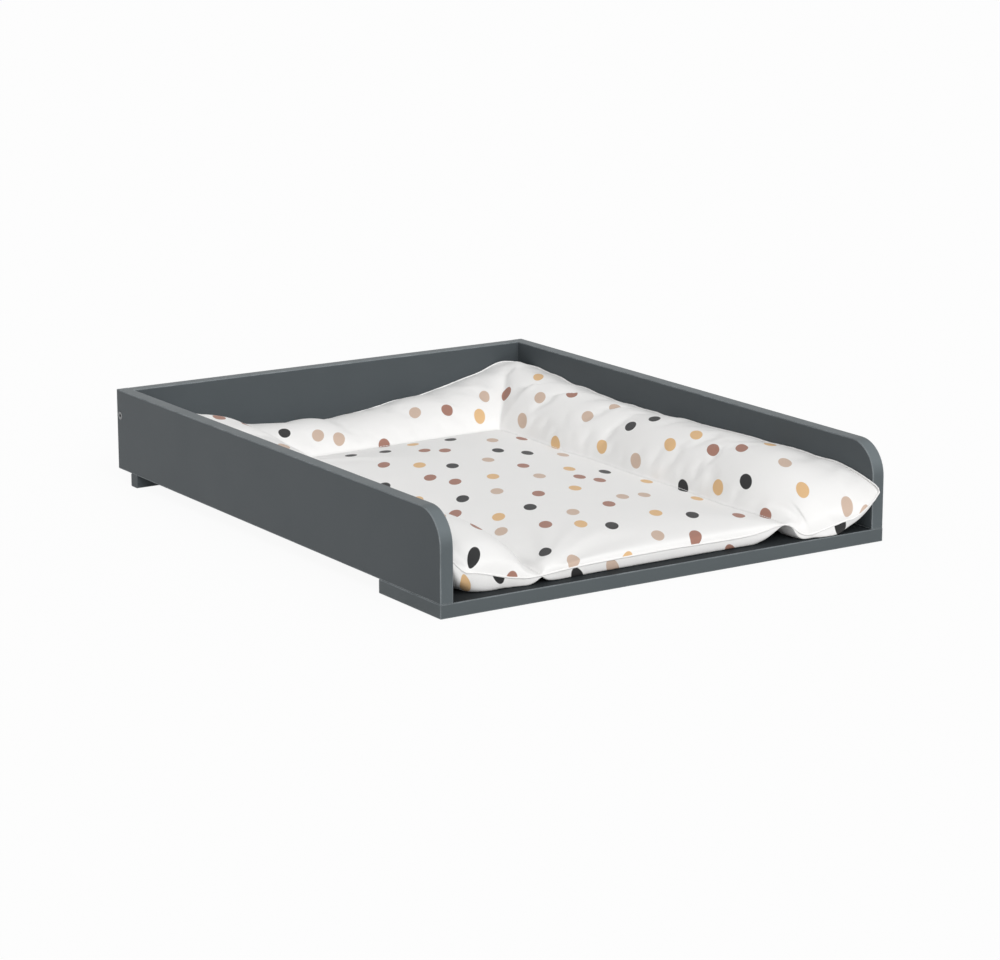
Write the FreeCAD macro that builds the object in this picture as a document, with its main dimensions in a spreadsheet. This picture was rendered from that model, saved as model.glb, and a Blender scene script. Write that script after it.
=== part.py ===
import FreeCAD, Part
import math
import os
import re

import Sketcher
from FreeCAD import Vector

# Driving dimensions in millimetres: alias, value, meaning
SIZES = [
    ("overall_width", 600, "across the outer faces of the side panels"),
    ("overall_depth", 750, "length of the side panels"),
    ("side_height", 100, "height of the side and back panels"),
    ("board_thickness", 16, "all boards"),
    ("nose_radius", 40, "rounded front corner of the side panels"),
    ("band_thickness", 1, "edge bands"),
    ("band_rounding", 0.8, "eased outer edges of the bands"),
    ("front_board_depth", 125, "front board, front to back"),
    ("batten_thickness", 16, "rear batten, front to back"),
    ("batten_setback", 34, "batten in front of the frame's back"),
    ("batten_easing", 1, "chamfer on the batten's long edges"),
    ("screw_length", 50, "connector screws"),
    ("screw_diameter", 7, "screw shank"),
    ("screw_head_diameter", 10, "countersunk head"),
    ("screw_head_rim", 0.8, "straight rim of the head"),
    ("socket_width", 4, "hexagon socket across its flats"),
    ("socket_depth", 2.6, "hexagon socket"),
    ("screw_clearance", 0.1, "round a screw in its hole, on the radius"),
    ("hole_end_gap", 2, "free depth past the end of a screw or dowel"),
    ("corner_screw_drop", 32, "corner screw below the panel's top"),
    ("corner_dowel_rise", 32, "corner dowel above the panel's lower edge"),
    ("front_screw_inset", 32, "first front screw behind the front edge"),
    ("front_screw_pitch", 64, "between the two front screws of a side"),
    ("dowel_diameter", 8, "corner dowels"),
    ("dowel_length", 30, "corner dowels"),
    ("dowel_in_side", 10, "dowel's length inside the side panel"),
    ("dowel_chamfer", 1, "eased dowel ends"),
    ("dowel_clearance", 0.1, "round a dowel in its hole, on the radius"),
    ("pad_clearance", 1, "between the pad and the panels"),
    ("pad_centre_setback", 20, "lying field behind the front edge"),
    ("bolster_setback", 12, "wedges behind the front edge"),
    ("bolster_width", 124, "side wedges, seam to panel"),
    ("back_bolster_width", 133, "head wedge, seam to panel"),
    ("seam_low", 7, "lower edge of the seams above the pad's underside"),
    ("seam_high", 13, "upper edge of the seams above the pad's underside"),
    ("seam_undercut", 18, "how far the underside is drawn in at a seam"),
    ("centre_crown", 25, "lying field at its middle"),
    ("centre_end", 16, "lying field where it is drawn in at its ends"),
    ("side_crest", 72, "side wedges at their highest line"),
    ("side_rim", 63, "side wedges where they touch the panel"),
    ("nose_crest", 22, "front ends of the side wedges"),
    ("nose_rim", 46, "front ends of the side wedges at the panel"),
    ("nose_length", 70, "how far the front ends are rounded"),
    ("rear_crest", 79, "side wedges near the rear corners"),
    ("rear_rim", 74, "side wedges near the rear corners at the panel"),
    ("rise_length", 150, "how far the side wedges rise to the rear"),
    ("back_crest", 50, "head wedge at its highest line"),
    ("back_rim", 38, "head wedge where it touches the panel"),
    ("mitre_length", 40, "how far a wedge narrows to a crease"),
    ("mitre_crest", 57, "crease between two wedges"),
    ("mitre_rim", 81, "pad's raised rear corners"),
    ("bolster_foot", 32, "how far the underside is drawn in at a panel"),
]
ALIASES = {alias for alias, _, _ in SIZES}

doc = FreeCAD.newDocument("ChangingTop")
sheet = doc.addObject("Spreadsheet::Sheet", "Sizes")
for row, (alias, value, meaning) in enumerate(SIZES, start=1):
    sheet.set(f"A{row}", meaning)
    sheet.set(f"B{row}", str(value))
    sheet.setAlias(f"B{row}", alias)
doc.recompute()


def cells(formula):
    """The formula with each alias written as a cell of the sheet."""
    return re.sub(r"[a-z]+(?:_[a-z]+)*", lambda m: f"Sizes.{m[0]}" if m[0] in ALIASES else m[0], formula)


def size(formula):
    """The formula's value in millimetres."""
    return float(sheet.evalExpression(cells(formula)))


def bind(item, path, formula):
    item.setExpression(path, cells(formula))


def new_body(label, x="0", y="0", z="0"):
    """An empty body whose own frame stands at the given place."""
    body = doc.addObject("PartDesign::Body", label)
    body.Label = label
    body.AllowCompound = True
    for axis, formula in zip("xyz", (x, y, z)):
        bind(body, f"Placement.Base.{axis}", formula)
    return body


def origin_feature(body, role):
    return next(item for item in body.Origin.OriginFeatures if item.Role == role)


def new_sketch(body, plane, name, offset="0"):
    """A sketch on an origin plane of its body, moved along the plane's normal by the offset."""
    sketch = body.newObject("Sketcher::SketchObject", name)
    sketch.AttachmentSupport = (origin_feature(body, plane), "")
    sketch.MapMode = "FlatFace"
    bind(sketch, "AttachmentOffset.Base.z", offset)
    return sketch


def pin(sketch, geometry, point, formulas):
    """Holds a sketch point at a place given by two formulas."""
    rules = (("DistanceX", -2), ("DistanceY", -1))
    for (kind, axis), formula in zip(rules, formulas):
        if formula == "0":
            sketch.addConstraint(Sketcher.Constraint("PointOnObject", geometry, point, axis))
        else:
            rule = Sketcher.Constraint(kind, -1, 1, geometry, point, size(formula))
            bind(sketch, f"Constraints[{sketch.addConstraint(rule)}]", formula)


def draw_outline(sketch, points):
    """A closed outline of straight lines through corners given as pairs of formulas."""
    corners = [Vector(size(x), size(y), 0) for x, y in points]
    lines = []
    for start, end in zip(corners, corners[1:] + corners[:1]):
        lines.append(sketch.addGeometry(Part.LineSegment(start, end), False))
    for line, following, place in zip(lines, lines[1:] + lines[:1], points):
        sketch.addConstraint(Sketcher.Constraint("Coincident", line, 2, following, 1))
        pin(sketch, line, 1, place)


def draw_rectangle(sketch, left, bottom, right, top):
    draw_outline(sketch, [(left, bottom), (right, bottom), (right, top), (left, top)])


def draw_circles(sketch, places, diameter):
    """Circles of one bound diameter, each at its own pair of formulas."""
    for place in places:
        centre = Vector(*map(size, place), 0)
        circle = sketch.addGeometry(Part.Circle(centre, Vector(0, 0, 1), size(diameter) / 2), False)
        pin(sketch, circle, 3, place)
        rule = sketch.addConstraint(Sketcher.Constraint("Diameter", circle, size(diameter)))
        bind(sketch, f"Constraints[{rule}]", diameter)


def pad(body, sketch, length, reverse=False):
    feature = body.newObject("PartDesign::Pad", f"{sketch.Name}Pad")
    feature.Profile = sketch
    feature.Reversed = reverse
    bind(feature, "Length", length)
    return feature


def drill(body, sketch, depth, reverse=False):
    """Blind holes of the sketch's outlines; fails if nothing is cut."""
    doc.recompute()
    volume = body.Shape.Volume
    feature = body.newObject("PartDesign::Pocket", f"{sketch.Name}Drilling")
    feature.Profile = sketch
    feature.Reversed = reverse
    bind(feature, "Length", depth)
    doc.recompute()
    if body.Shape.Volume > volume - LEAST_CUT:
        raise RuntimeError(f"{feature.Name} cuts nothing")
    return feature


def countersink(body, sketch):
    """Through holes for the connector screws, countersunk on the sketch's side."""
    doc.recompute()
    volume = body.Shape.Volume
    feature = body.newObject("PartDesign::Hole", f"{sketch.Name}Countersink")
    feature.Profile = sketch
    feature.Reversed = True
    feature.ThreadType = "None"
    feature.DepthType = "ThroughAll"
    feature.HoleCutType = "Countersink"
    feature.HoleCutCustomValues = True
    feature.HoleCutCountersinkAngle = 90
    bind(feature, "Diameter", SCREW_HOLE)
    bind(feature, "HoleCutDiameter", SCREW_SEAT)
    doc.recompute()
    if body.Shape.Volume > volume - LEAST_CUT:
        raise RuntimeError(f"{feature.Name} cuts nothing")
    return feature


def edge_names(feature, wanted):
    """Names of the feature's edges whose bounding box passes the test."""
    doc.recompute()
    return [f"Edge{n}" for n, edge in enumerate(feature.Shape.Edges, start=1) if wanted(edge.BoundBox)]


def dress(body, base, kind, wanted, sizes):
    """A fillet or chamfer on chosen edges, with its sizes bound by name."""
    feature = body.newObject(f"PartDesign::{kind}", f"{body.Label}_{kind}")
    feature.Base = (base, edge_names(base, wanted))
    for path, formula in sizes.items():
        bind(feature, path, formula)
    return feature


def mirror_whole(body, plane, offset):
    """Repeats all of a body across a plane parallel to one of its origin planes."""
    datum = body.newObject("PartDesign::Plane", f"{body.Label}_MirrorPlane")
    datum.AttachmentSupport = (origin_feature(body, plane), "")
    datum.MapMode = "FlatFace"
    bind(datum, "AttachmentOffset.Base.z", offset)
    doc.recompute()
    feature = body.newObject("PartDesign::Mirrored", f"{body.Label}_Mirrored")
    feature.TransformMode = "Whole shape"
    feature.MirrorPlane = (datum, [""])
    body.Tip = feature


def mirror_part(source, label):
    """The right-hand twin of a left-hand piece."""
    twin = doc.addObject("Part::Mirroring", label)
    twin.Label = label
    twin.Source = source
    twin.Normal = Vector(1, 0, 0)
    return twin


# Places that several pieces share
PANEL_AXIS = "board_thickness / 2"
HALF_WIDTH = "overall_width / 2"
HALF_DEPTH = "overall_depth / 2"
BATTEN_FRONT = "overall_depth - batten_setback - batten_thickness"
BATTEN_AXIS = f"{BATTEN_FRONT} + batten_thickness / 2"
SCREW_HOLE = "screw_diameter + 2 * screw_clearance"
SCREW_SEAT = "screw_head_diameter + 2 * screw_head_rim + 4 * screw_clearance"
DOWEL_HOLE = "dowel_diameter + 2 * dowel_clearance"
TOUCH = 1e-6
# Least volume that a hole takes out of its board
LEAST_CUT = 1


def drill_lower_edge(body):
    """Pilot holes in a side panel's lower edge for the front board's and the batten's screws."""
    sketch = new_sketch(body, "XY_Plane", f"{body.Label}_LowerHoles")
    rows = ["front_screw_inset", "front_screw_inset + front_screw_pitch", BATTEN_AXIS]
    draw_circles(sketch, [(PANEL_AXIS, row) for row in rows], SCREW_HOLE)
    drill(body, sketch, "screw_length - board_thickness + hole_end_gap", reverse=True)


def at_left_side(label):
    """A body in a left panel's frame: outer face, front edge and lower edge at zero."""
    return new_body(label, f"-{HALF_WIDTH}", f"-{HALF_DEPTH}", "board_thickness")


def make_side_panel():
    """Left board: rounded at the front, drilled for the corner and lower fasteners."""
    body = at_left_side("left_side_panel")
    profile = new_sketch(body, "YZ_Plane", "SideProfile")
    draw_rectangle(profile, "band_thickness", "band_thickness",
                   "overall_depth - band_thickness", "side_height - band_thickness")
    board = pad(body, profile, "board_thickness")
    inset = size("band_thickness")
    top = size("side_height - band_thickness")
    dress(body, board, "Fillet", lambda box: box.YMax < inset + TOUCH and box.ZMin > top - TOUCH,
          {"Radius": "nose_radius - band_thickness"})
    seat = new_sketch(body, "YZ_Plane", "SideScrewSeat")
    draw_circles(seat, [(f"overall_depth - {PANEL_AXIS}", "side_height - corner_screw_drop")], SCREW_HOLE)
    countersink(body, seat)
    socket = new_sketch(body, "YZ_Plane", "SideDowelHole", "board_thickness")
    draw_circles(socket, [(f"overall_depth - {PANEL_AXIS}", "corner_dowel_rise")], DOWEL_HOLE)
    drill(body, socket, "dowel_in_side + hole_end_gap")
    drill_lower_edge(body)
    return body


def make_side_edge_band():
    """Band glued round all edges of the left board, in one loop."""
    body = at_left_side("left_side_edge_band")
    profile = new_sketch(body, "YZ_Plane", "SideBandProfile")
    draw_rectangle(profile, "0", "0", "overall_depth", "side_height")
    draw_rectangle(profile, "band_thickness", "band_thickness",
                   "overall_depth - band_thickness", "side_height - band_thickness")
    loop = pad(body, profile, "board_thickness")
    inset = size("band_thickness")
    depth = size("overall_depth")
    height = size("side_height")
    inner = dress(body, loop, "Fillet",
                  lambda box: inset - TOUCH < box.YMin and box.YMax < inset + TOUCH
                  and height - inset - TOUCH < box.ZMin and box.ZMax < height - inset + TOUCH,
                  {"Radius": "nose_radius - band_thickness"})
    outer = dress(body, inner, "Fillet", lambda box: box.YMax < TOUCH and box.ZMin > height - TOUCH,
                  {"Radius": "nose_radius"})
    dress(body, outer, "Fillet",
          lambda box: box.XLength < TOUCH and (box.YMin < TOUCH or box.YMax > depth - TOUCH
                                               or box.ZMin < TOUCH or box.ZMax > height - TOUCH),
          {"Radius": "band_rounding"})
    drill_lower_edge(body)
    return body


def make_back_panel():
    """Board between the sides, with a screw hole and a dowel hole in each end."""
    body = new_body("back_panel", y=f"{HALF_DEPTH} - board_thickness", z="board_thickness")
    half = f"{HALF_WIDTH} - board_thickness"
    profile = new_sketch(body, "XZ_Plane", "BackProfile")
    draw_rectangle(profile, f"-({half})", "band_thickness", half, "side_height - band_thickness")
    pad(body, profile, "board_thickness", reverse=True)
    holes = []
    for name, height, bore, depth in (
            ("BackScrewHole", "side_height - corner_screw_drop", SCREW_HOLE,
             "screw_length - board_thickness + hole_end_gap"),
            ("BackDowelHole", "corner_dowel_rise", DOWEL_HOLE,
             "dowel_length - dowel_in_side + hole_end_gap")):
        sketch = new_sketch(body, "YZ_Plane", name, f"-({half})")
        draw_circles(sketch, [(PANEL_AXIS, height)], bore)
        holes.append(drill(body, sketch, depth, reverse=True))
    twins = body.newObject("PartDesign::Mirrored", "BackHolesMirrored")
    twins.Originals = holes
    twins.MirrorPlane = (origin_feature(body, "YZ_Plane"), [""])
    body.Tip = twins
    return body


def make_back_edge_bands():
    """Straight bands along the back board's top and lower edges."""
    body = new_body("back_panel_edge_bands", y=f"{HALF_DEPTH} - board_thickness", z="board_thickness")
    half = f"{HALF_WIDTH} - board_thickness"
    profile = new_sketch(body, "XZ_Plane", "BackBandProfile")
    draw_rectangle(profile, f"-({half})", "0", half, "band_thickness")
    draw_rectangle(profile, f"-({half})", "side_height - band_thickness", half, "side_height")
    strips = pad(body, profile, "board_thickness", reverse=True)
    height = size("side_height")
    dress(body, strips, "Fillet",
          lambda box: box.YLength < TOUCH and (box.ZMax < TOUCH or box.ZMin > height - TOUCH),
          {"Radius": "band_rounding"})
    return body


def make_front_board():
    """Flat board under the front of both sides, countersunk from below."""
    body = new_body("front_board", y=f"-{HALF_DEPTH}")
    edge = f"{HALF_WIDTH} - band_thickness"
    outline = new_sketch(body, "XY_Plane", "FrontOutline")
    draw_rectangle(outline, f"-({edge})", "band_thickness", edge, "front_board_depth - band_thickness")
    pad(body, outline, "board_thickness")
    column = f"{HALF_WIDTH} - {PANEL_AXIS}"
    rows = ["front_screw_inset", "front_screw_inset + front_screw_pitch"]
    seats = new_sketch(body, "XY_Plane", "FrontScrewSeats")
    draw_circles(seats, [(x, y) for x in (column, f"-({column})") for y in rows], SCREW_HOLE)
    countersink(body, seats)
    return body


def make_front_edge_band():
    """Band glued round all four edges of the front board."""
    body = new_body("front_board_edge_band", y=f"-{HALF_DEPTH}")
    edge = f"{HALF_WIDTH} - band_thickness"
    outline = new_sketch(body, "XY_Plane", "FrontBandOutline")
    draw_rectangle(outline, f"-{HALF_WIDTH}", "0", HALF_WIDTH, "front_board_depth")
    draw_rectangle(outline, f"-({edge})", "band_thickness", edge, "front_board_depth - band_thickness")
    loop = pad(body, outline, "board_thickness")
    half = size(HALF_WIDTH)
    depth = size("front_board_depth")
    dress(body, loop, "Fillet",
          lambda box: box.ZLength < TOUCH and (box.YMax < TOUCH or box.YMin > depth - TOUCH
                                               or box.XMax < TOUCH - half or box.XMin > half - TOUCH),
          {"Radius": "band_rounding"})
    return body


def make_rear_batten():
    """Square batten that drops behind the appliance, eased along its length."""
    body = new_body("rear_batten", y=f"{BATTEN_FRONT} - {HALF_DEPTH}")
    outline = new_sketch(body, "XY_Plane", "BattenOutline")
    draw_rectangle(outline, f"-{HALF_WIDTH}", "0", HALF_WIDTH, "batten_thickness")
    bar = pad(body, outline, "board_thickness")
    dress(body, bar, "Chamfer", lambda box: box.YLength < TOUCH and box.ZLength < TOUCH,
          {"Size": "batten_easing"})
    column = f"{HALF_WIDTH} - {PANEL_AXIS}"
    seats = new_sketch(body, "XY_Plane", "BattenScrewSeats")
    draw_circles(seats, [(column, "batten_thickness / 2"), (f"-({column})", "batten_thickness / 2")],
                 SCREW_HOLE)
    countersink(body, seats)
    return body


def turn_profile(body, points):
    """A round piece about its body's own Z axis from a half profile of formulas."""
    profile = new_sketch(body, "XZ_Plane", f"{body.Label}_Profile")
    draw_outline(profile, points)
    feature = body.newObject("PartDesign::Revolution", f"{body.Label}_Turned")
    feature.Profile = profile
    feature.ReferenceAxis = (profile, ["V_Axis"])
    feature.Angle = 360


def along_width(body):
    """Lays a body's Z axis along the part's width."""
    body.Placement.Rotation = FreeCAD.Rotation(Vector(0, 1, 0), 90)


def make_screw(label, x, y, z):
    """A connector screw with its head's face at zero, running along its body's Z axis."""
    body = new_body(label, x, y, z)
    cone_end = "screw_head_rim + (screw_head_diameter - screw_diameter) / 2"
    turn_profile(body, [
        ("0", "0"),
        ("screw_head_diameter / 2", "0"),
        ("screw_head_diameter / 2", "screw_head_rim"),
        ("screw_diameter / 2", cone_end),
        ("screw_diameter / 2", "screw_length"),
        ("0", "screw_length"),
    ])
    socket = new_sketch(body, "XY_Plane", f"{label}_Socket")
    corner = "socket_width / sqrt(3)"
    draw_outline(socket, [
        (corner, "0"),
        (f"{corner} / 2", "socket_width / 2"),
        (f"-{corner} / 2", "socket_width / 2"),
        (f"-{corner}", "0"),
        (f"-{corner} / 2", "-socket_width / 2"),
        (f"{corner} / 2", "-socket_width / 2"),
    ])
    drill(body, socket, "socket_depth", reverse=True)
    return body


def make_upright_screws(label, row):
    """Screws up into the lower edges of both side panels, at one distance from the front."""
    return make_screw(label, f"{PANEL_AXIS} - {HALF_WIDTH}", f"{row} - {HALF_DEPTH}", "0")


def make_front_screws():
    body = make_upright_screws("front_board_screws", "front_screw_inset")
    pair = body.newObject("PartDesign::LinearPattern", "FrontScrewPair")
    pair.TransformMode = "Whole shape"
    pair.Direction = (origin_feature(body, "Y_Axis"), [""])
    pair.Occurrences = 2
    bind(pair, "Length", "front_screw_pitch")
    body.Tip = pair
    mirror_whole(body, "YZ_Plane", f"{HALF_WIDTH} - {PANEL_AXIS}")
    return body


def make_batten_screws():
    body = make_upright_screws("rear_batten_screws", BATTEN_AXIS)
    mirror_whole(body, "YZ_Plane", f"{HALF_WIDTH} - {PANEL_AXIS}")
    return body


def make_corner_screws():
    """Screws through the side panels into the ends of the back panel."""
    body = make_screw("corner_screws", f"-{HALF_WIDTH}", f"{HALF_DEPTH} - {PANEL_AXIS}",
                      "board_thickness + side_height - corner_screw_drop")
    along_width(body)
    mirror_whole(body, "XY_Plane", HALF_WIDTH)
    return body


def make_corner_dowels():
    """Wooden dowels below the corner screws."""
    start = "board_thickness - dowel_in_side"
    body = new_body("corner_dowels", f"{start} - {HALF_WIDTH}", f"{HALF_DEPTH} - {PANEL_AXIS}",
                    "board_thickness + corner_dowel_rise")
    tip = "dowel_diameter / 2 - dowel_chamfer"
    turn_profile(body, [
        ("0", "0"),
        (tip, "0"),
        ("dowel_diameter / 2", "dowel_chamfer"),
        ("dowel_diameter / 2", "dowel_length - dowel_chamfer"),
        (tip, "dowel_length"),
        ("0", "dowel_length"),
    ])
    along_width(body)
    mirror_whole(body, "XY_Plane", f"{HALF_WIDTH} - ({start})")
    return body


# The pad's plan: its seams and its outer edges
SEAM_X = size(f"{HALF_WIDTH} - board_thickness - bolster_width")
WALL_X = size(f"{HALF_WIDTH} - board_thickness - pad_clearance")
SEAM_Y = size(f"{HALF_DEPTH} - board_thickness - back_bolster_width")
WALL_Y = size(f"{HALF_DEPTH} - board_thickness - pad_clearance")
# Shares that give the stuffed sections their swell
CREST_SHARE = 0.7
TOP_SWELL = 0.11
RIM_SWELL = 0.06
UNDER_SWELL = 0.08
# Swell that is left in a crease, as a share of a plain section's
CREASE_SWELL = 0.1
# Spans along a rounded end, and along a stretch that rises smoothly
END_STEPS = 3
RUN_STEPS = 3


def closed_wire(curves):
    return Part.Wire([curve.toShape() for curve in curves])


def wedge_section(seam, wall, crest, rim, fullness):
    """Closed upright section of a wedge, drawn in at its seam and at the panel.

    Args:
        seam: point of the pad's underside below the seam.
        wall: point of the pad's underside below the wedge's outer edge.
        crest: height of the wedge's highest line.
        rim: height of its outer edge.
        fullness: share of the swell on its upper side.
    """
    across = wall - seam
    width = across.Length
    across.normalize()

    def place(distance, height):
        return seam + across * distance + Vector(0, 0, height)

    def swell(start, end, share):
        """Arc outside the chord between two places, which go clockwise round the section."""
        run, rise = end[0] - start[0], end[1] - start[1]
        middle = ((start[0] + end[0]) / 2 - share * rise, (start[1] + end[1]) / 2 + share * run)
        return Part.Arc(place(*start), place(*middle), place(*end))

    low = (0, size("seam_low"))
    high = (0, size("seam_high"))
    top = (CREST_SHARE * width, crest)
    edge = (width, rim)
    heel = (width - size("bolster_foot"), 0)
    toe = (size("seam_undercut"), 0)
    return closed_wire([
        Part.LineSegment(place(*low), place(*high)),
        swell(high, top, TOP_SWELL * fullness),
        swell(top, edge, RIM_SWELL * fullness),
        swell(edge, heel, UNDER_SWELL),
        Part.LineSegment(place(*heel), place(*toe)),
        Part.LineSegment(place(*toe), place(*low)),
    ])


def smooth(share):
    """A share that starts and ends level."""
    return share * share * (3 - 2 * share)


def smooth_rise():
    """Pairs of position and height share along a stretch that rises smoothly."""
    places = [step / RUN_STEPS for step in range(RUN_STEPS + 1)]
    return [(place, smooth(place)) for place in places]


def rounded_end():
    """Pairs of position and height share that round off an end, from its tip to its full height."""
    turns = [math.pi / 2 * step / END_STEPS for step in range(END_STEPS + 1)]
    return [(1 - math.cos(turn), math.sin(turn)) for turn in turns]


def lay_sections(first, last, shares):
    """Sections from one place to another.

    Args:
        first: seam, wall, crest, rim and fullness of the first section.
        last: the same of the last section.
        shares: pairs of position and height share; the rim runs smoothly whatever the heights do.
    """
    sections = []
    for place, height in shares:
        parts = (place, place, height, smooth(place), height)
        sections.append(wedge_section(*[a + (b - a) * part for a, b, part in zip(first, last, parts)]))
    return sections


def crease(side):
    """The section where the head wedge meets the wedge of one side, -1 or 1."""
    seam = Vector(side * SEAM_X, SEAM_Y, 0)
    wall = Vector(side * WALL_X, WALL_Y, 0)
    return seam, wall, size("mitre_crest"), size("mitre_rim"), CREASE_SWELL


def stuff(label, sections):
    """A stuffed field through its sections, lying on the front board and the batten."""
    field = doc.addObject("Part::Feature", label)
    field.Label = label
    field.Shape = Part.makeLoft(sections, True, True)
    field.Placement.Base = Vector(0, 0, size("board_thickness"))
    return field


def make_side_wedge():
    """Left wedge, from its rounded front end over its rise to the crease at the head wedge."""
    tip = (size("nose_crest"), size("nose_rim"))
    full = (size("side_crest"), size("side_rim"))
    rear = (size("rear_crest"), size("rear_rim"))

    def plain(y, heights):
        return Vector(-SEAM_X, y, 0), Vector(-WALL_X, y, 0), *heights, 1

    front = size(f"bolster_setback - {HALF_DEPTH}")
    corner = SEAM_Y - size("mitre_length")
    nose = lay_sections(plain(front, tip), plain(front + size("nose_length"), full), rounded_end())
    rise = lay_sections(plain(corner - size("rise_length"), full), plain(corner, rear), smooth_rise())
    mitre = lay_sections(crease(-1), plain(corner, rear), rounded_end())
    return stuff("pad_left_bolster", nose + rise[:-1] + mitre[::-1])


def make_head_wedge():
    """Head wedge between the two creases."""
    inset = SEAM_X - size("mitre_length")

    def plain(side):
        x = side * inset
        return Vector(x, SEAM_Y, 0), Vector(x, WALL_Y, 0), size("back_crest"), size("back_rim"), 1

    left = lay_sections(crease(-1), plain(-1), rounded_end())
    right = lay_sections(crease(1), plain(1), rounded_end())
    return stuff("pad_back_bolster", left + right[::-1])


def make_centre():
    """Lying field between the seams, crowned in its middle and drawn in at both ends."""
    low, high = size("seam_low"), size("seam_high")
    flat = SEAM_X - size("seam_undercut")

    def section(y, crown):
        left, right = Vector(-SEAM_X, y, high), Vector(SEAM_X, y, high)
        hems = [Vector(SEAM_X, y, low), Vector(flat, y, 0), Vector(-flat, y, 0), Vector(-SEAM_X, y, low)]
        corners = [right, *hems, left]
        sides = [Part.LineSegment(start, end) for start, end in zip(corners, corners[1:])]
        return closed_wire([Part.Arc(left, Vector(0, y, crown), right), *sides])

    front = size(f"pad_centre_setback - {HALF_DEPTH}")
    taper = size("seam_undercut")
    end, crown = size("centre_end"), size("centre_crown")
    ends = []
    for start, way in ((front, taper), (SEAM_Y, -taper)):
        ends.append([section(start + way * place, end + (crown - end) * height)
                     for place, height in rounded_end()])
    return stuff("pad_centre", ends[0] + ends[1][::-1])


left_panel = make_side_panel()
left_band = make_side_edge_band()
left_wedge = make_side_wedge()
SUB_PARTS = [
    left_panel,
    mirror_part(left_panel, "right_side_panel"),
    left_band,
    mirror_part(left_band, "right_side_edge_band"),
    make_back_panel(),
    make_back_edge_bands(),
    make_front_board(),
    make_front_edge_band(),
    make_rear_batten(),
    make_front_screws(),
    make_batten_screws(),
    make_corner_screws(),
    make_corner_dowels(),
    make_centre(),
    left_wedge,
    mirror_part(left_wedge, "pad_right_bolster"),
    make_head_wedge(),
]
doc.recompute()

for item in doc.Objects:
    if {"Invalid", "Error"} & set(item.State):
        raise RuntimeError(f"{item.Label} did not compute")
for item in SUB_PARTS:
    if item.Shape.isNull() or not item.Shape.isValid():
        raise RuntimeError(f"{item.Label} has no valid shape")

os.makedirs("parts", exist_ok=True)
for item in SUB_PARTS:
    item.Shape.exportStep(f"parts/{item.Label}.step")
    print(item.Label, len(item.Shape.Solids), round(item.Shape.Volume))
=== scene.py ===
"""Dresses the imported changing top.

The boards keep their solids. One sewn and stuffed pad takes the place of the pad's plain wedges.
"""

import logging
import math
from abc import ABC, abstractmethod
from collections.abc import Mapping
from dataclasses import dataclass
from enum import Enum, IntEnum

import bpy
import numpy as np
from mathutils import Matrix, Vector


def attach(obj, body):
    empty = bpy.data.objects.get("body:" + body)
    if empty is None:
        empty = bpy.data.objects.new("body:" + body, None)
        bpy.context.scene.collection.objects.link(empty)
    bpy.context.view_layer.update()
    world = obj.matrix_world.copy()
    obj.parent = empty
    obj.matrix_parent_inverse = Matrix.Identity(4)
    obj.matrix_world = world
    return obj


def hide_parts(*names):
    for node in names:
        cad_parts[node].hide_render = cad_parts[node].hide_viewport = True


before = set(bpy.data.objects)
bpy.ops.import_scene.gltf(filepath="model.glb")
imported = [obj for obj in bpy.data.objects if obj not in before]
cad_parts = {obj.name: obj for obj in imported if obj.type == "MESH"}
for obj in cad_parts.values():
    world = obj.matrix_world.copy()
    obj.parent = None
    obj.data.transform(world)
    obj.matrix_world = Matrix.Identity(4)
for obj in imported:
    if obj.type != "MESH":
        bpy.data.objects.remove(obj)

log = logging.getLogger("changing_top")

Array = np.ndarray
Colour = tuple[float, float, float, float]
Node = bpy.types.Node
Piece = bpy.types.Object
Point = tuple[float, float, float]
Socket = bpy.types.NodeSocket
Sockets = Mapping[str, Socket]
Span = tuple[float, float]

FLOAT = "NodeSocketFloat"
VECTOR = "NodeSocketVector"
NOISE_SPAN: Span = (0.3, 0.7)
PRINT_MAP = "Print"
SMALL = 1e-9
WHITE: Colour = (1.0, 1.0, 1.0, 1.0)


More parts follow.
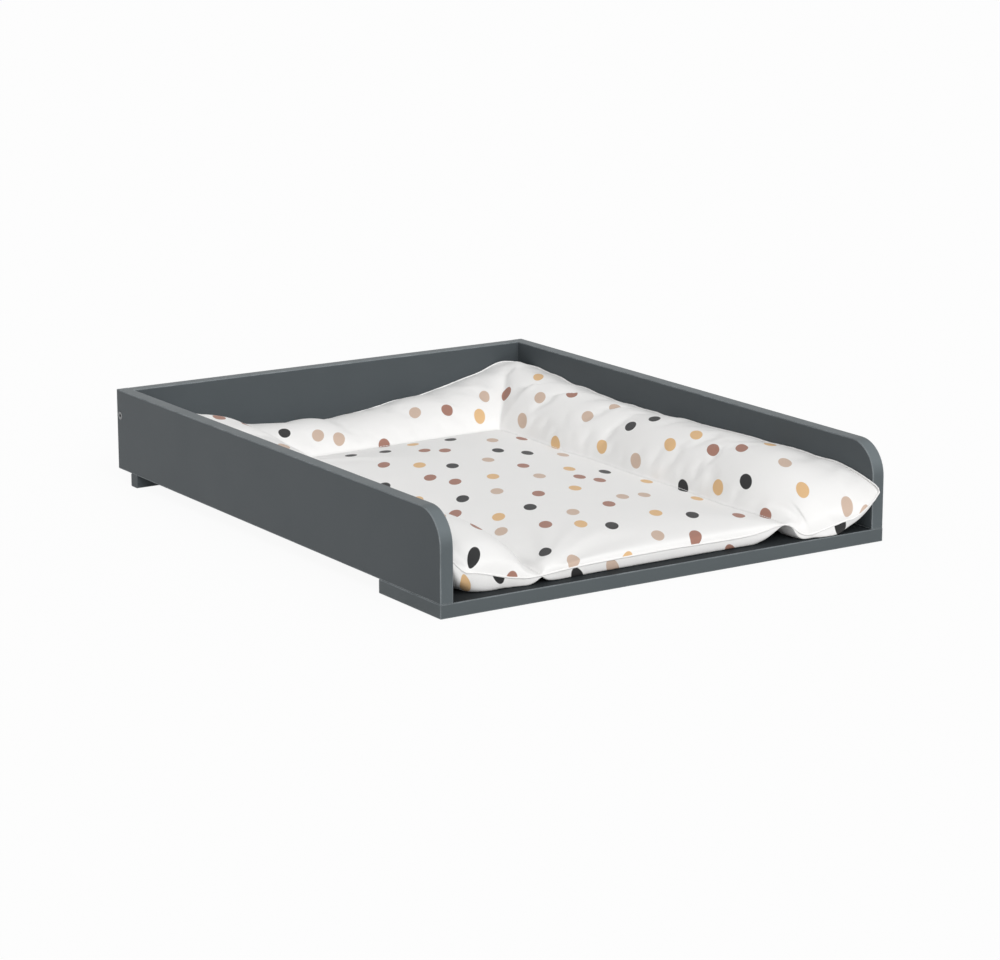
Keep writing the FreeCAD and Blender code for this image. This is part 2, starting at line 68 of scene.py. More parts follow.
class Graph:
    """Adds and joins the nodes of one shader tree."""

    def __init__(self, tree: bpy.types.NodeTree) -> None:
        """Keeps the tree that the nodes go into."""
        self.tree = tree

    def feed(self, node: Node, values: dict) -> None:
        """Sets a node's inputs.

        Args:
            node: the node.
            values: its inputs by name or number, each a plain value or the output that feeds it.
        """
        for key, value in values.items():
            socket = node.inputs[key]
            if isinstance(value, bpy.types.NodeSocket):
                self.tree.links.new(value, socket)
            else:
                socket.default_value = value

    def node(self, kind: str, values: dict | None = None, **options: object) -> Node:
        """Adds one node.

        Args:
            kind: the node's type, without the ShaderNode in front.
            values: its inputs, as feed takes them.
            options: the node's own settings.

        Returns:
            The new node.
        """
        made = self.tree.nodes.new(f"ShaderNode{kind}")
        for name, value in options.items():
            setattr(made, name, value)
        self.feed(made, values or {})
        return made

    def math(self, operation: str, first: object, second: object = 0.0, third: object = 0.0) -> Socket:
        """The result of one Math node."""
        return self.node("Math", {0: first, 1: second, 2: third}, operation=operation).outputs[0]

    def blend(self, factor: object, first: object, second: object) -> Socket:
        """The colour between two colours."""
        return self.node("Mix", {0: factor, 6: first, 7: second}, data_type="RGBA").outputs[2]

    def ramp(self, value: Socket, low: float, high: float, start: float = 0.0, end: float = 1.0) -> Socket:
        """A value moved from the range low to high into the range start to end, and held there."""
        return self.node("MapRange", {0: value, 1: low, 2: high, 3: start, 4: end}).outputs[0]

    def noise(self, place: Socket, scale: object, detail: float, roughness: float = 0.5) -> Socket:
        """Soft noise, mostly within NOISE_SPAN."""
        values = {"Vector": place, "Scale": scale, "Detail": detail, "Roughness": roughness}
        return self.node("TexNoise", values).outputs[0]

    def bump(self, height: Socket, strength: float, depth: float, normal: Socket | None = None) -> Socket:
        """Presses a height into a surface.

        Args:
            height: the height, from 0 to 1.
            strength: how strongly it shows.
            depth: the depth of the whole height, in metres.
            normal: the surface's normal where it isn't the plain one.

        Returns:
            The normal of the pressed surface.
        """
        values = {"Height": height, "Strength": strength, "Distance": depth}
        if normal is not None:
            values["Normal"] = normal
        return self.node("Bump", values).outputs[0]

    def object_place(self) -> Socket:
        """The place on the piece itself, in metres."""
        return self.node("TexCoord").outputs["Object"]


class Effect(ABC):
    """A node group that several finishes share, built once and placed with each finish's own values."""

    title: str
    inputs: dict[str, str]
    outputs: dict[str, str]

    @abstractmethod
    def wire(self, graph: Graph, given: Sockets) -> dict[str, Socket]:
        """Adds the group's nodes.

        Args:
            graph: the group's nodes.
            given: what comes into the group, by name.

        Returns:
            What goes out of it, by name.
        """

    def tree(self) -> bpy.types.NodeTree:
        """Makes the group at its first use.

        Returns:
            The group's tree.
        """
        found = bpy.data.node_groups.get(self.title)
        if found:
            return found
        made = bpy.data.node_groups.new(self.title, "ShaderNodeTree")
        for way, sockets in (("INPUT", self.inputs), ("OUTPUT", self.outputs)):
            for name, kind in sockets.items():
                made.interface.new_socket(name=name, in_out=way, socket_type=kind)
        graph = Graph(made)
        inlet = made.nodes.new("NodeGroupInput")
        outlet = made.nodes.new("NodeGroupOutput")
        graph.feed(outlet, self.wire(graph, inlet.outputs))
        return made

    def place(self, graph: Graph, values: dict[str, object]) -> Sockets:
        """Places the group in a material, with these inputs, and gives what comes out of it."""
        return graph.node("Group", values, node_tree=self.tree()).outputs


class PebbleGrain(Effect):
    """The fine pebbled press of a melamine face, with a slow drift of tone."""

    title = "pebble_grain"
    inputs = {"Place": VECTOR, "Grains": FLOAT}
    outputs = {"Height": FLOAT, "Tone": FLOAT}
    drift_scale = 0.012
    speckle_share = 0.35

    def wire(self, graph: Graph, given: Sockets) -> dict[str, Socket]:
        """Mixes small cells with soft noise for the height, and takes wide noise for the tone."""
        place, grains = given["Place"], given["Grains"]
        cells = graph.node("TexVoronoi", {"Vector": place, "Scale": grains}, feature="SMOOTH_F1")
        fine = graph.noise(place, grains, detail=2.0)
        wide = graph.math("MULTIPLY", grains, self.drift_scale)
        drift = graph.math("MULTIPLY", graph.noise(place, wide, detail=4.0), 1 - self.speckle_share)
        return {
            "Height": graph.math("MULTIPLY", cells.outputs["Distance"], fine),
            "Tone": graph.math("MULTIPLY_ADD", fine, self.speckle_share, drift),
        }


class ArrisWearAndHighlight(Effect):
    """The thin pale line along an edge, where the surface turns within a small radius: part rubbed wear,
    part painted highlight.
    """

    title = "arris_wear_and_highlight"
    inputs = {"Place": VECTOR, "Radius": FLOAT}
    outputs = {"Mask": FLOAT, "Normal": VECTOR}
    bevel_samples = 4
    turn_span: Span = (0.995, 0.93)
    patch_scale = 45.0
    patch_span: Span = (0.3, 0.65)
    least_rub = 0.35

    def wire(self, graph: Graph, given: Sockets) -> dict[str, Socket]:
        """Compares the rounded normal with the true one and breaks the line up with noise."""
        rounded_off = graph.node("Bevel", {"Radius": given["Radius"]}, samples=self.bevel_samples).outputs[0]
        true = graph.node("NewGeometry").outputs["Normal"]
        turn = graph.node("VectorMath", {0: rounded_off, 1: true}, operation="DOT_PRODUCT").outputs["Value"]
        edge = graph.ramp(turn, *self.turn_span)
        patch = graph.noise(given["Place"], self.patch_scale, detail=5.0)
        rubbed_and_highlit = graph.ramp(patch, *self.patch_span, self.least_rub, 1.0)
        # the mask lays a pale line on the arrises: part rubbed wear, part painted highlight
        return {"Mask": graph.math("MULTIPLY", edge, rubbed_and_highlit), "Normal": rounded_off}


class PlainWeave(Effect):
    """A plain over-and-under weave, with threads of uneven thickness."""

    title = "plain_weave"
    inputs = {"Place": VECTOR, "Threads": FLOAT}
    outputs = {"Height": FLOAT}
    slub_scale = 160.0

    def wire(self, graph: Graph, given: Sockets) -> dict[str, Socket]:
        """Crosses two waves, one along each thread direction."""
        slub = graph.noise(given["Place"], self.slub_scale, detail=2.0)
        split = graph.node("SeparateXYZ", {0: given["Place"]}).outputs
        turn = graph.math("MULTIPLY", given["Threads"], math.pi)
        waves = []
        for axis in ("X", "Y"):
            angle = graph.math("MULTIPLY_ADD", split[axis], turn, slub)
            waves.append(graph.math("SINE", angle))
        cross = graph.math("MULTIPLY", *waves)
        return {"Height": graph.ramp(cross, -1.0, 1.0)}


class Finish(ABC):
    """A surface finish that makes its material at its first use."""

    name: str

    @abstractmethod
    def paint(self, graph: Graph, shader: Node) -> None:
        """Sets the shader's plain values and adds the nodes that feed it.

        Args:
            graph: the material's nodes.
            shader: its main shader.
        """

    def material(self) -> bpy.types.Material:
        """Makes the material at its first use.

        Returns:
            The finish's material.
        """
        found = bpy.data.materials.get(self.name)
        if found:
            return found
        made = bpy.data.materials.new(self.name)
        made.use_nodes = True
        self.paint(Graph(made.node_tree), made.node_tree.nodes["Principled BSDF"])
        return made


@dataclass(frozen=True)
class Melamine(Finish):
    """A satin melamine face or edge band in one dark colour."""

    name: str
    dark: Colour
    light: Colour
    rubbed_and_highlit: Colour
    grains: float = 1400.0
    roughness: float = 0.46
    rough_drift: float = 0.05
    gloss: float = 0.2
    arris: float = 0.0011
    press: float = 0.22
    press_depth: float = 0.0004

    def paint(self, graph: Graph, shader: Node) -> None:
        """Pebbled bump, drifting tone, and a paler line along the arrises that is part wear and part painted
        highlight.
        """
        place = graph.object_place()
        grain = PebbleGrain().place(graph, {"Place": place, "Grains": self.grains})
        wear_and_highlight = ArrisWearAndHighlight().place(graph, {"Place": place, "Radius": self.arris})
        face = self.face(graph, grain["Tone"])
        rough = (self.roughness - self.rough_drift, self.roughness + self.rough_drift)
        graph.feed(shader, {
            # the arris line: part rubbed wear, part painted highlight
            "Base Color": graph.blend(wear_and_highlight["Mask"], face, self.rubbed_and_highlit),
            "Roughness": graph.ramp(grain["Tone"], *NOISE_SPAN, *rough),
            "Normal": graph.bump(grain["Height"], self.press, self.press_depth, wear_and_highlight["Normal"]),
            "Specular IOR Level": self.gloss,
        })

    def face(self, graph: Graph, tone: Socket) -> Socket:
        """The colour of the face, which drifts with the tone."""
        return graph.blend(tone, self.dark, self.light)


@dataclass(frozen=True)
class NoseHighlightBand(Melamine):
    """An edge band with a painted highlight on the nose of a side panel, where it turns round from the front
    to the top.
    """

    nose_highlight: Colour = (0.150, 0.174, 0.184, 1.0)
    lean_span: Span = (-0.08, -0.42)

    def face(self, graph: Graph, tone: Socket) -> Socket:
        """The colour of the face, with a painted highlight where it leans both forward and up."""
        # painted highlight, brightest where the face leans about halfway between forward and up
        way = graph.node("SeparateXYZ", {0: graph.node("NewGeometry").outputs["Normal"]}).outputs
        lean = graph.math("MULTIPLY", way["Y"], way["Z"])
        bent = graph.ramp(lean, *self.lean_span)
        return graph.blend(bent, super().face(graph, tone), self.nose_highlight)


@dataclass(frozen=True)
class PlatedSteel(Finish):
    """Zinc-plated steel with fine turning marks."""

    name: str = "plated_steel"
    dark: Colour = (0.14, 0.145, 0.15, 1.0)
    light: Colour = (0.30, 0.305, 0.31, 1.0)
    worn: Colour = (0.5, 0.5, 0.5, 1.0)
    rough: Span = (0.28, 0.42)
    cloud_scale: float = 420.0
    mark_scale: float = 2600.0
    mark: float = 0.15
    mark_depth: float = 0.0002
    arris: float = 0.0004

    def paint(self, graph: Graph, shader: Node) -> None:
        """Fine turning marks on a cloudy plating."""
        place = graph.object_place()
        cloud = graph.noise(place, self.cloud_scale, detail=4.0)
        marks = graph.noise(place, self.mark_scale, detail=2.0)
        wear_and_highlight = ArrisWearAndHighlight().place(graph, {"Place": place, "Radius": self.arris})
        plated = graph.blend(cloud, self.dark, self.light)
        graph.feed(shader, {
            "Base Color": graph.blend(wear_and_highlight["Mask"], plated, self.worn),
            "Roughness": graph.ramp(cloud, *NOISE_SPAN, *self.rough),
            "Normal": graph.bump(marks, self.mark, self.mark_depth),
            "Metallic": 1.0,
        })


@dataclass(frozen=True)
class Beech(Finish):
    """Turned beech with its short darker flecks."""

    name: str = "turned_beech"
    pale: Colour = (0.58, 0.40, 0.24, 1.0)
    fleck: Colour = (0.33, 0.19, 0.10, 1.0)
    rough: Span = (0.5, 0.68)
    fleck_span: Span = (0.45, 0.72)
    drawn_out: Point = (0.12, 1.0, 1.0)
    grain_scale: float = 900.0
    pore: float = 0.3
    pore_depth: float = 0.0003

    def paint(self, graph: Graph, shader: Node) -> None:
        """Grain drawn out along the dowel."""
        place = graph.node("Mapping", {"Vector": graph.object_place(), "Scale": self.drawn_out}).outputs[0]
        grain = graph.noise(place, self.grain_scale, detail=6.0)
        flecks = graph.ramp(grain, *self.fleck_span)
        graph.feed(shader, {
            "Base Color": graph.blend(flecks, self.pale, self.fleck),
            "Roughness": graph.ramp(grain, *NOISE_SPAN, *self.rough),
            "Normal": graph.bump(grain, self.pore, self.pore_depth),
        })


CHARCOAL: Colour = (0.026, 0.026, 0.027, 1.0)
BEIGE: Colour = (0.60, 0.46, 0.37, 1.0)
MAUVE: Colour = (0.365, 0.19, 0.145, 1.0)
GOLD: Colour = (0.73, 0.48, 0.25, 1.0)


@dataclass(frozen=True)
class PrintedCover(Finish):
    """White coated cotton with a scatter of plain oval dots in four colours."""

    name: str = "printed_cover"
    cloth: Colour = (0.89, 0.885, 0.875, 1.0)
    shade: Colour = (0.855, 0.85, 0.84, 1.0)
    inks: tuple[Colour, ...] = (CHARCOAL, BEIGE, MAUVE, GOLD)
    rough: Span = (0.5, 0.6)
    gloss: float = 0.16
    sheen: float = 0.045
    sheen_roughness: float = 0.5
    pitch: float = 0.0445
    scatter: float = 0.55
    dot_radius: float = 0.0075
    dot_edge: float = 0.03
    stretch: float = 1.75
    turn: float = -0.54
    odd_ink: float = 0.7
    printed_half: float = 0.287
    printed_back: float = 0.365
    sheet_half: float = 0.37
    drift_scale: float = 9.0
    crease_scale: float = 42.0
    crease_roughness: float = 0.45
    crease: float = 0.2
    crease_depth: float = 0.003
    threads: float = 2100.0
    weave: float = 0.25
    weave_depth: float = 0.0002

    def paint(self, graph: Graph, shader: Node) -> None:
        """Dots, weave and soft creases, all laid out on the flat cut of the cover."""
        flat = graph.node("UVMap", uv_map=PRINT_MAP).outputs[0]
        dot, ink = self.dots(graph, flat)
        drift = graph.noise(flat, self.drift_scale, detail=4.0)
        ground = graph.blend(drift, self.shade, self.cloth)
        crease = graph.noise(flat, self.crease_scale, detail=3.0, roughness=self.crease_roughness)
        creased = graph.bump(crease, self.crease, self.crease_depth)
        weave = PlainWeave().place(graph, {"Place": flat, "Threads": self.threads})["Height"]
        graph.feed(shader, {
            "Base Color": graph.blend(dot, ground, ink),
            "Roughness": graph.ramp(drift, *NOISE_SPAN, *self.rough),
            "Normal": graph.bump(weave, self.weave, self.weave_depth, creased),
            "Sheen Weight": self.sheen,
            "Sheen Roughness": self.sheen_roughness,
            "Specular IOR Level": self.gloss,
        })

    def turned(self, graph: Graph, place: Socket, angle: float) -> Socket:
        """A place on the flat cover, turned about its middle."""
        made = graph.node("VectorRotate", {"Vector": place, "Angle": angle}, rotation_type="Z_AXIS")
        return made.outputs[0]

    def dots(self, graph: Graph, flat: Socket) -> tuple[Socket, Socket]:
        """Lays out the dots.

        Args:
            graph: the material's nodes.
            flat: the place on the flat cover, in metres.

        Returns:
            The mask of the dots, and their ink.
        """
        spacing = (1.0 / self.pitch, 1.0 / (self.pitch * self.stretch), 1.0)
        drawn = graph.node("Mapping", {"Vector": self.turned(graph, flat, -self.turn), "Scale": spacing})
        layout = {"Vector": drawn.outputs[0], "Scale": 1.0, "Randomness": self.scatter}
        cells = graph.node("TexVoronoi", layout, voronoi_dimensions="2D").outputs
        radius = self.dot_radius / self.pitch
        round_dot = graph.ramp(cells["Distance"], radius * (1 + self.dot_edge), radius * (1 - self.dot_edge))
        dot = graph.math("MULTIPLY", round_dot, self.printed(graph, cells))
        ink = graph.node("ValToRGB", {0: self.pick(graph, cells)})
        ink.color_ramp.interpolation = "CONSTANT"
        stops = ink.color_ramp.elements
        stops.remove(stops[1])
        stops[0].color = self.inks[0]
        for number, colour in enumerate(self.inks[1:], 1):
            stops.new(number / len(self.inks)).color = colour
        return dot, ink.outputs[0]

    def printed(self, graph: Graph, cells: Sockets) -> Socket:
        """Leaves the top sheet bare along its outer seam.

        Args:
            graph: the material's nodes.
            cells: the layout, with one dot in each cell.

        Returns:
            One for the dots that are printed, nought for those too near the seam.
        """
        size = (self.pitch, self.pitch * self.stretch, 1.0)
        drawn = graph.node("Mapping", {"Vector": cells["Position"], "Scale": size}).outputs[0]
        spot = graph.node("SeparateXYZ", {0: self.turned(graph, drawn, self.turn)}).outputs
        out = graph.math("ABSOLUTE", spot["X"])
        inside = graph.math("LESS_THAN", out, self.printed_half)
        ahead = graph.math("LESS_THAN", spot["Y"], self.printed_back)
        other_sheet = graph.math("GREATER_THAN", out, self.sheet_half)
        return graph.math("MAXIMUM", graph.math("MULTIPLY", inside, ahead), other_sheet)

    def pick(self, graph: Graph, cells: Sockets) -> Socket:
        """Chooses inks so that neighbours mostly differ.

        Args:
            graph: the material's nodes.
            cells: the layout, with one dot in each cell.

        Returns:
            A number from 0 to 1 that is the same all over one dot.
        """
        spot = graph.node("SeparateXYZ", {0: cells["Position"]}).outputs
        column = graph.math("FLOOR", spot["X"])
        row = graph.math("FLOOR", spot["Y"])
        chance = graph.node("SeparateColor", {0: cells["Color"]}).outputs[0]
        order = graph.math("MULTIPLY_ADD", row, 2.0, column)
        mixed = graph.math("ADD", order, graph.math("GREATER_THAN", chance, self.odd_ink))
        number = graph.math("FLOORED_MODULO", mixed, float(len(self.inks)))
        return graph.math("DIVIDE", graph.math("ADD", number, 0.5), float(len(self.inks)))


@dataclass(frozen=True)
class SewnCotton(Finish):
    """The bare white cotton of seam edges and thread."""

    name: str = "sewn_cotton"
    pale: Colour = (0.91, 0.905, 0.895, 1.0)
    dull: Colour = (0.85, 0.845, 0.835, 1.0)
    rough: Span = (0.6, 0.75)
    drift_scale: float = 300.0
    threads: float = 2600.0
    weave: float = 0.3
    weave_depth: float = 0.0002

    def paint(self, graph: Graph, shader: Node) -> None:
        """A fine weave on a slightly uneven white."""
        place = graph.object_place()
        drift = graph.noise(place, self.drift_scale, detail=3.0)
        weave = PlainWeave().place(graph, {"Place": place, "Threads": self.threads})["Height"]
        graph.feed(shader, {
            "Base Color": graph.blend(drift, self.dull, self.pale),
            "Roughness": graph.ramp(drift, *NOISE_SPAN, *self.rough),
            "Normal": graph.bump(weave, self.weave, self.weave_depth),
        })


BOARD_FACE = Melamine(
    name="anthracite_board",
    dark=(0.066, 0.077, 0.084, 1.0),
    light=(0.077, 0.089, 0.096, 1.0),
    rubbed_and_highlit=(0.19, 0.21, 0.22, 1.0),
)
# painted highlight: the side panels' edge band is painted paler on its nose arcs
HIGHLIT_EDGE_BAND = NoseHighlightBand(
    name="anthracite_edge_band_painted_highlight",
    dark=(0.096, 0.112, 0.120, 1.0),
    light=(0.109, 0.127, 0.134, 1.0),
    rubbed_and_highlit=(0.36, 0.39, 0.41, 1.0),
    roughness=0.40,
    gloss=0.10,
    arris=0.0016,
)
# painted shade: the front board's edge band is the same band as the side panels', painted darker
SHADED_SHELF_EDGE = Melamine(
    name="anthracite_shelf_edge_painted_shade",
    dark=(0.079, 0.093, 0.099, 1.0),
    light=(0.090, 0.105, 0.111, 1.0),
    rubbed_and_highlit=(0.36, 0.39, 0.41, 1.0),
    roughness=0.40,
    arris=0.0016,
)
# painted shade: the front board's top is a far darker, less glossy copy of the anthracite board, standing in
# for the shadow under the front of the pad
SHADED_SHELF_FACE = Melamine(
    name="anthracite_shelf_painted_shade",
    dark=(0.021, 0.025, 0.027, 1.0),
    light=(0.028, 0.032, 0.035, 1.0),
    rubbed_and_highlit=(0.06, 0.066, 0.07, 1.0),
    roughness=0.62,
    gloss=0.06,
)
COVER = PrintedCover()
COTTON = SewnCotton()


class BoardwareFinish(Enum):
    """The finishes of the nodes that keep their solids."""

    board = BOARD_FACE
    # painted shade on the front board's top
    shaded_shelf = SHADED_SHELF_FACE
    edge_band = HIGHLIT_EDGE_BAND
    # painted shade on the front board's edge band
    shaded_shelf_edge = SHADED_SHELF_EDGE
    screw = PlatedSteel()
    dowel = Beech()


class Boardware:
    """The frame's boards, bands, screws and dowels, which keep their solids."""

    endings: dict[str, BoardwareFinish] = {
        "front_board_edge_band": BoardwareFinish.shaded_shelf_edge,
        "edge_band": BoardwareFinish.edge_band,
        "edge_bands": BoardwareFinish.edge_band,
        "screws": BoardwareFinish.screw,
        "dowels": BoardwareFinish.dowel,
        # the front board's top takes the painted-shade copy of the board
        "front_board": BoardwareFinish.shaded_shelf,
    }

    def dress(self) -> None:
        """Gives each node of the frame its finish."""
        for name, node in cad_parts.items():
            finish = self.finish_of(name)
            if finish is None:
                continue
            for slot in node.material_slots:
                slot.material = finish.material()
            log.info("%s: %s", name, finish.name)

    def finish_of(self, name: str) -> Finish | None:
        """Finds a node's finish by the first ending that its name has.

        Args:
            name: the node's name.

        Returns:
            The finish, or None for the pad's nodes.
        """
        if name.startswith("pad_"):
            return None
        for ending, finish in self.endings.items():
            if name.endswith(ending):
                return finish.value
        return BoardwareFinish.board.value


class Seed(IntEnum):
    """Which of many uneven waves each line of the cover follows."""

    left_seam = 3
    right_seam = 4
    left_rim = 5
    right_rim = 6
    head_rim = 7
    inner_gathers = 11
    outer_gathers = 12
    broad_gathers = 13
    turned_edge = 21


@dataclass(frozen=True)
class Curve:
    """A smooth curve through a few points, each a station and the values there."""

    points: tuple[tuple[float, ...], ...]

    def at(self, stations: Array) -> Array:
        """Reads the curve.

        Args:
            stations: where to read it, held within its ends.

        Returns:
            One row of values for each station.
        """
        table = np.array(self.points)
        knots, values = table[:, 0], table[:, 1:]
        slopes = np.gradient(values, knots, axis=0)
        inside = np.clip(stations, knots[0], knots[-1])
        cell = np.clip(np.searchsorted(knots, inside, side="right") - 1, 0, len(knots) - 2)
        span = (knots[cell + 1] - knots[cell])[:, None]
        t = (inside - knots[cell])[:, None] / span
        start = values[cell] * (1 + 2 * t) * (1 - t) ** 2 + slopes[cell] * span * t * (1 - t) ** 2
        end = values[cell + 1] * t**2 * (3 - 2 * t) + slopes[cell + 1] * span * t**2 * (t - 1)
        return start + end


WAVES = 5
WAVE_SPREAD: Span = (0.7, 1.6)
WAVE_HEIGHT = 2.6


def ripple(stations: Array, length: float, seed: Seed) -> Array:
    """An uneven wave between about -1 and 1.

    Args:
        stations: places along the wave, in metres.
        length: its usual wavelength.
        seed: which of many such waves it is.

    Returns:
        The wave's height at each place.
    """
    dice = np.random.RandomState(seed)
    lengths = length * dice.uniform(*WAVE_SPREAD, WAVES)
    phases = dice.uniform(0, 2 * math.pi, WAVES)
    waves = [np.sin(2 * math.pi * stations / each + phase) for each, phase in zip(lengths, phases)]
    return np.sum(waves, axis=0) / WAVE_HEIGHT


def rounded(distance: Array, reach: float) -> Array:
    """A quarter round that rises from 0 at a seam to 1 at the reach."""
    rest = 1 - np.clip(distance / reach, 0, 1)
    return np.sqrt(1 - rest**2)


def lens(share: Array) -> Array:
    """A swelling that is 0 at both ends of a width and 1 halfway across."""
    return np.clip(4 * share * (1 - share), 0, 1)


def between(start: Array, end: Array, parts: Array) -> Array:
    """Points on the straight line between two points, by their shares of the way."""
    return start * (1 - parts[:, None]) + end * parts[:, None]


def corner_slip(out: Array, back: Array) -> Array:
    """The share by which two distances past the start of a rounding are drawn back to make it round."""
    far = np.maximum(np.hypot(out, back), SMALL)
    return np.where(np.minimum(out, back) > 0, 1 - np.maximum(out, back) / far, 0)


def normals(points: Array) -> Array:
    """The upward normals of a sheet of points."""
    normal = np.cross(np.gradient(points, axis=1), np.gradient(points, axis=0))
    return normal / np.linalg.norm(normal, axis=2, keepdims=True)


@dataclass(frozen=True)
class Fold:
    """A slack fold of the cover: it lies over what is behind it, along a line on the flat bolster."""

    start: Span
    end: Span
    lift: float
    reach: float
    half_run: float = 0.45
    squareness: int = 4
    sink: float = -0.7

    def rise(self, across: Array, along: Array) -> Array:
        """The height that the fold adds.

        Args:
            across: distance of each vertex from the inner seam, in metres.
            along: each vertex's place along the bolster.

        Returns:
            The height at each vertex: proud on the near side of the line and sunk on the far side.
        """
        begin, way = np.array(self.start), np.array(self.end) - np.array(self.start)
        length = np.hypot(*way)
        way = way / length
        dx, dy = across - begin[0], along - begin[1]
        run = (dx * way[0] + dy * way[1]) / length
        off = dx * way[1] - dy * way[0]
        window = np.exp(-(((run - 0.5) / self.half_run) ** self.squareness))
        near = np.exp(-np.abs(off) / self.reach)
        return self.lift * window * near * np.where(off > 0, 1.0, self.sink)


@dataclass(frozen=True)
class Gather:
    """Small gathers of the cover, which die away from a seam."""

    lift: float
    length: float
    seed: Seed
    reach: float = math.inf

    def rise(self, along: Array, off: Array) -> Array:
        """The height that the gathers add, by the place along the seam and the distance from it."""
        return self.lift * ripple(along, self.length, self.seed) * np.exp(-off / self.reach)


@dataclass(frozen=True)
class Spots:
    """Where each vertex lies in its own wedge or field.

    The masks side and centre are the side wedges and the lying field. The share of the way from the
    inner seam to the rim is part, and ring is the same without regard to the mitres. The wedge's width
    as a share of its full width is size, the distance from the front edge is front, and the place along
    the wedge is along.
    """

    side: Array
    centre: Array
    part: Array
    ring: Array
    size: Array
    front: Array
    along: Array


@dataclass(frozen=True)
class WedgePad:
    """The pad's shape, in metres: a flat lying field within a U of three wedges, as two sheets of points."""

    # The room between the boards
    wall_x: float = 0.2828
    wall_y: float = 0.3578
    rest_z: float = 0.0163
    board_front: float = -0.378

    # The grid of the cover
    patches: int = 3
    bolster_cells: int = 22
    centre_cells: int = 50
    length_cells: int = 92
    front_y: float = -0.360
    seam_y: float = 0.226
    front_steps: tuple[float, ...] = (0.0, 0.0018, 0.0042, 0.0075, 0.012, 0.0175, 0.024)

    # The sewn lines
    sway: float = 0.0016
    sway_length: float = 0.11
    side_wave: float = 0.0009
    head_wave: float = 0.0008
    wave_length: float = 0.07
    wave_fade: float = 0.05
    left_rim: Curve = Curve(
        ((-0.36, 0.064), (-0.30, 0.071), (-0.14, 0.075), (0.0, 0.076), (0.12, 0.0885), (0.20, 0.0996),
         (0.27, 0.0984), (0.358, 0.0840))
    )
    right_rim: Curve = Curve(
        ((-0.36, 0.079), (-0.335, 0.0815), (-0.30, 0.0828), (-0.24, 0.083), (-0.145, 0.0815),
         (-0.045, 0.0790), (0.04, 0.0764), (0.15, 0.0772), (0.25, 0.0837), (0.32, 0.0895), (0.358, 0.0925))
    )
    back_rim: Curve = Curve(
        ((-0.283, 0.084), (-0.24, 0.082), (-0.19, 0.071), (-0.145, 0.052), (-0.10, 0.0463), (-0.06, 0.0468),
         (-0.034, 0.0413), (-0.005, 0.0452), (0.05, 0.0522), (0.12, 0.061), (0.17, 0.0690), (0.22, 0.0815),
         (0.255, 0.0925), (0.283, 0.0925))
    )
    left_seam: Curve = Curve(((-0.36, -0.160, 0.0280), (0.0, -0.160, 0.0290), (0.226, -0.160, 0.0335)))
    right_seam: Curve = Curve(((-0.36, 0.1645, 0.0350), (-0.1, 0.1670, 0.0355), (0.226, 0.1680, 0.0350)))
    front_edge: Curve = Curve(
        ((0.0, -0.2815, -0.365, 0.061), (0.1, -0.264, -0.362, 0.044), (0.25, -0.247, -0.362, 0.040),
         (0.4, -0.229, -0.361, 0.035), (0.7, -0.197, -0.360, 0.0265), (1.0, -0.163, -0.362, 0.0245),
         (1.15, -0.125, -0.360, 0.0265), (1.5, 0.0, -0.359, 0.0285), (1.85, 0.128, -0.360, 0.0290),
         (2.0, 0.1645, -0.364, 0.0358), (2.2, 0.185, -0.367, 0.0235), (2.32, 0.196, -0.369, 0.0198),
         (2.46, 0.212, -0.373, 0.0240), (2.7, 0.239, -0.379, 0.0322), (2.86, 0.259, -0.383, 0.0378),
         (3.0, 0.2850, -0.392, 0.0635))
    )

    # The front edge and its tips
    front_settle: float = 0.055
    front_round: float = 0.037
    front_over_round: float = 0.018
    front_under_round: float = 0.008
    left_under_round: float = 0.036
    right_under_round: float = 0.09
    front_puff: float = 0.0024
    front_under_puff: float = 0.0054
    puff_reach: float = 0.014
    tip_settle: float = 0.010
    tip_start: float = 2.6
    tip_sag: float = 0.3
    tip_round: float = 0.011
    tip_cells: int = 3

    # The wedges
    bolster_cut: float = 0.150
    side_crown: float = 0.027
    back_crown: float = 0.020
    seam_swell: float = 0.8
    rim_swell: float = 1.15
    underside: float = 0.042
    under_swell: float = 0.7
    under_gather: float = 0.42
    inner_gathers: Gather = Gather(0.0003, 0.040, Seed.inner_gathers, 0.03)
    outer_gathers: Gather = Gather(0.0007, 0.046, Seed.outer_gathers, 0.035)
    broad_gathers: Gather = Gather(0.0007, 0.14, Seed.broad_gathers)
    gather_from: float = 0.0008
    folds: tuple[Fold, ...] = (
        Fold((0.060, 0.250), (0.146, 0.190), 0.007, 0.016),
        Fold((0.075, 0.180), (0.146, 0.128), 0.007, 0.015),
        Fold((0.085, 0.075), (0.146, 0.035), 0.005, 0.013),
    )

    # The rear corners
    corner_round: float = 0.05
    mitre_fullness: float = 0.58
    mitre_taper: float = 0.7
    mitre_bow: float = 1.25
    mitre_width: float = 5.0
    mitre_ease: int = 40

    # The lying field
    lying_top: float = 0.0405
    lying_low: float = 0.0150
    lying_half: float = 0.162
    lying_round: float = 0.034
    lying_gather: float = 0.052
    pinch: float = 0.0012

    @property
    def columns(self) -> int:
        """Cells across the whole cover."""
        return 2 * self.bolster_cells + self.centre_cells

    @property
    def rows(self) -> int:
        """Cells from the front to the back of the cover."""
        return self.length_cells + self.bolster_cells

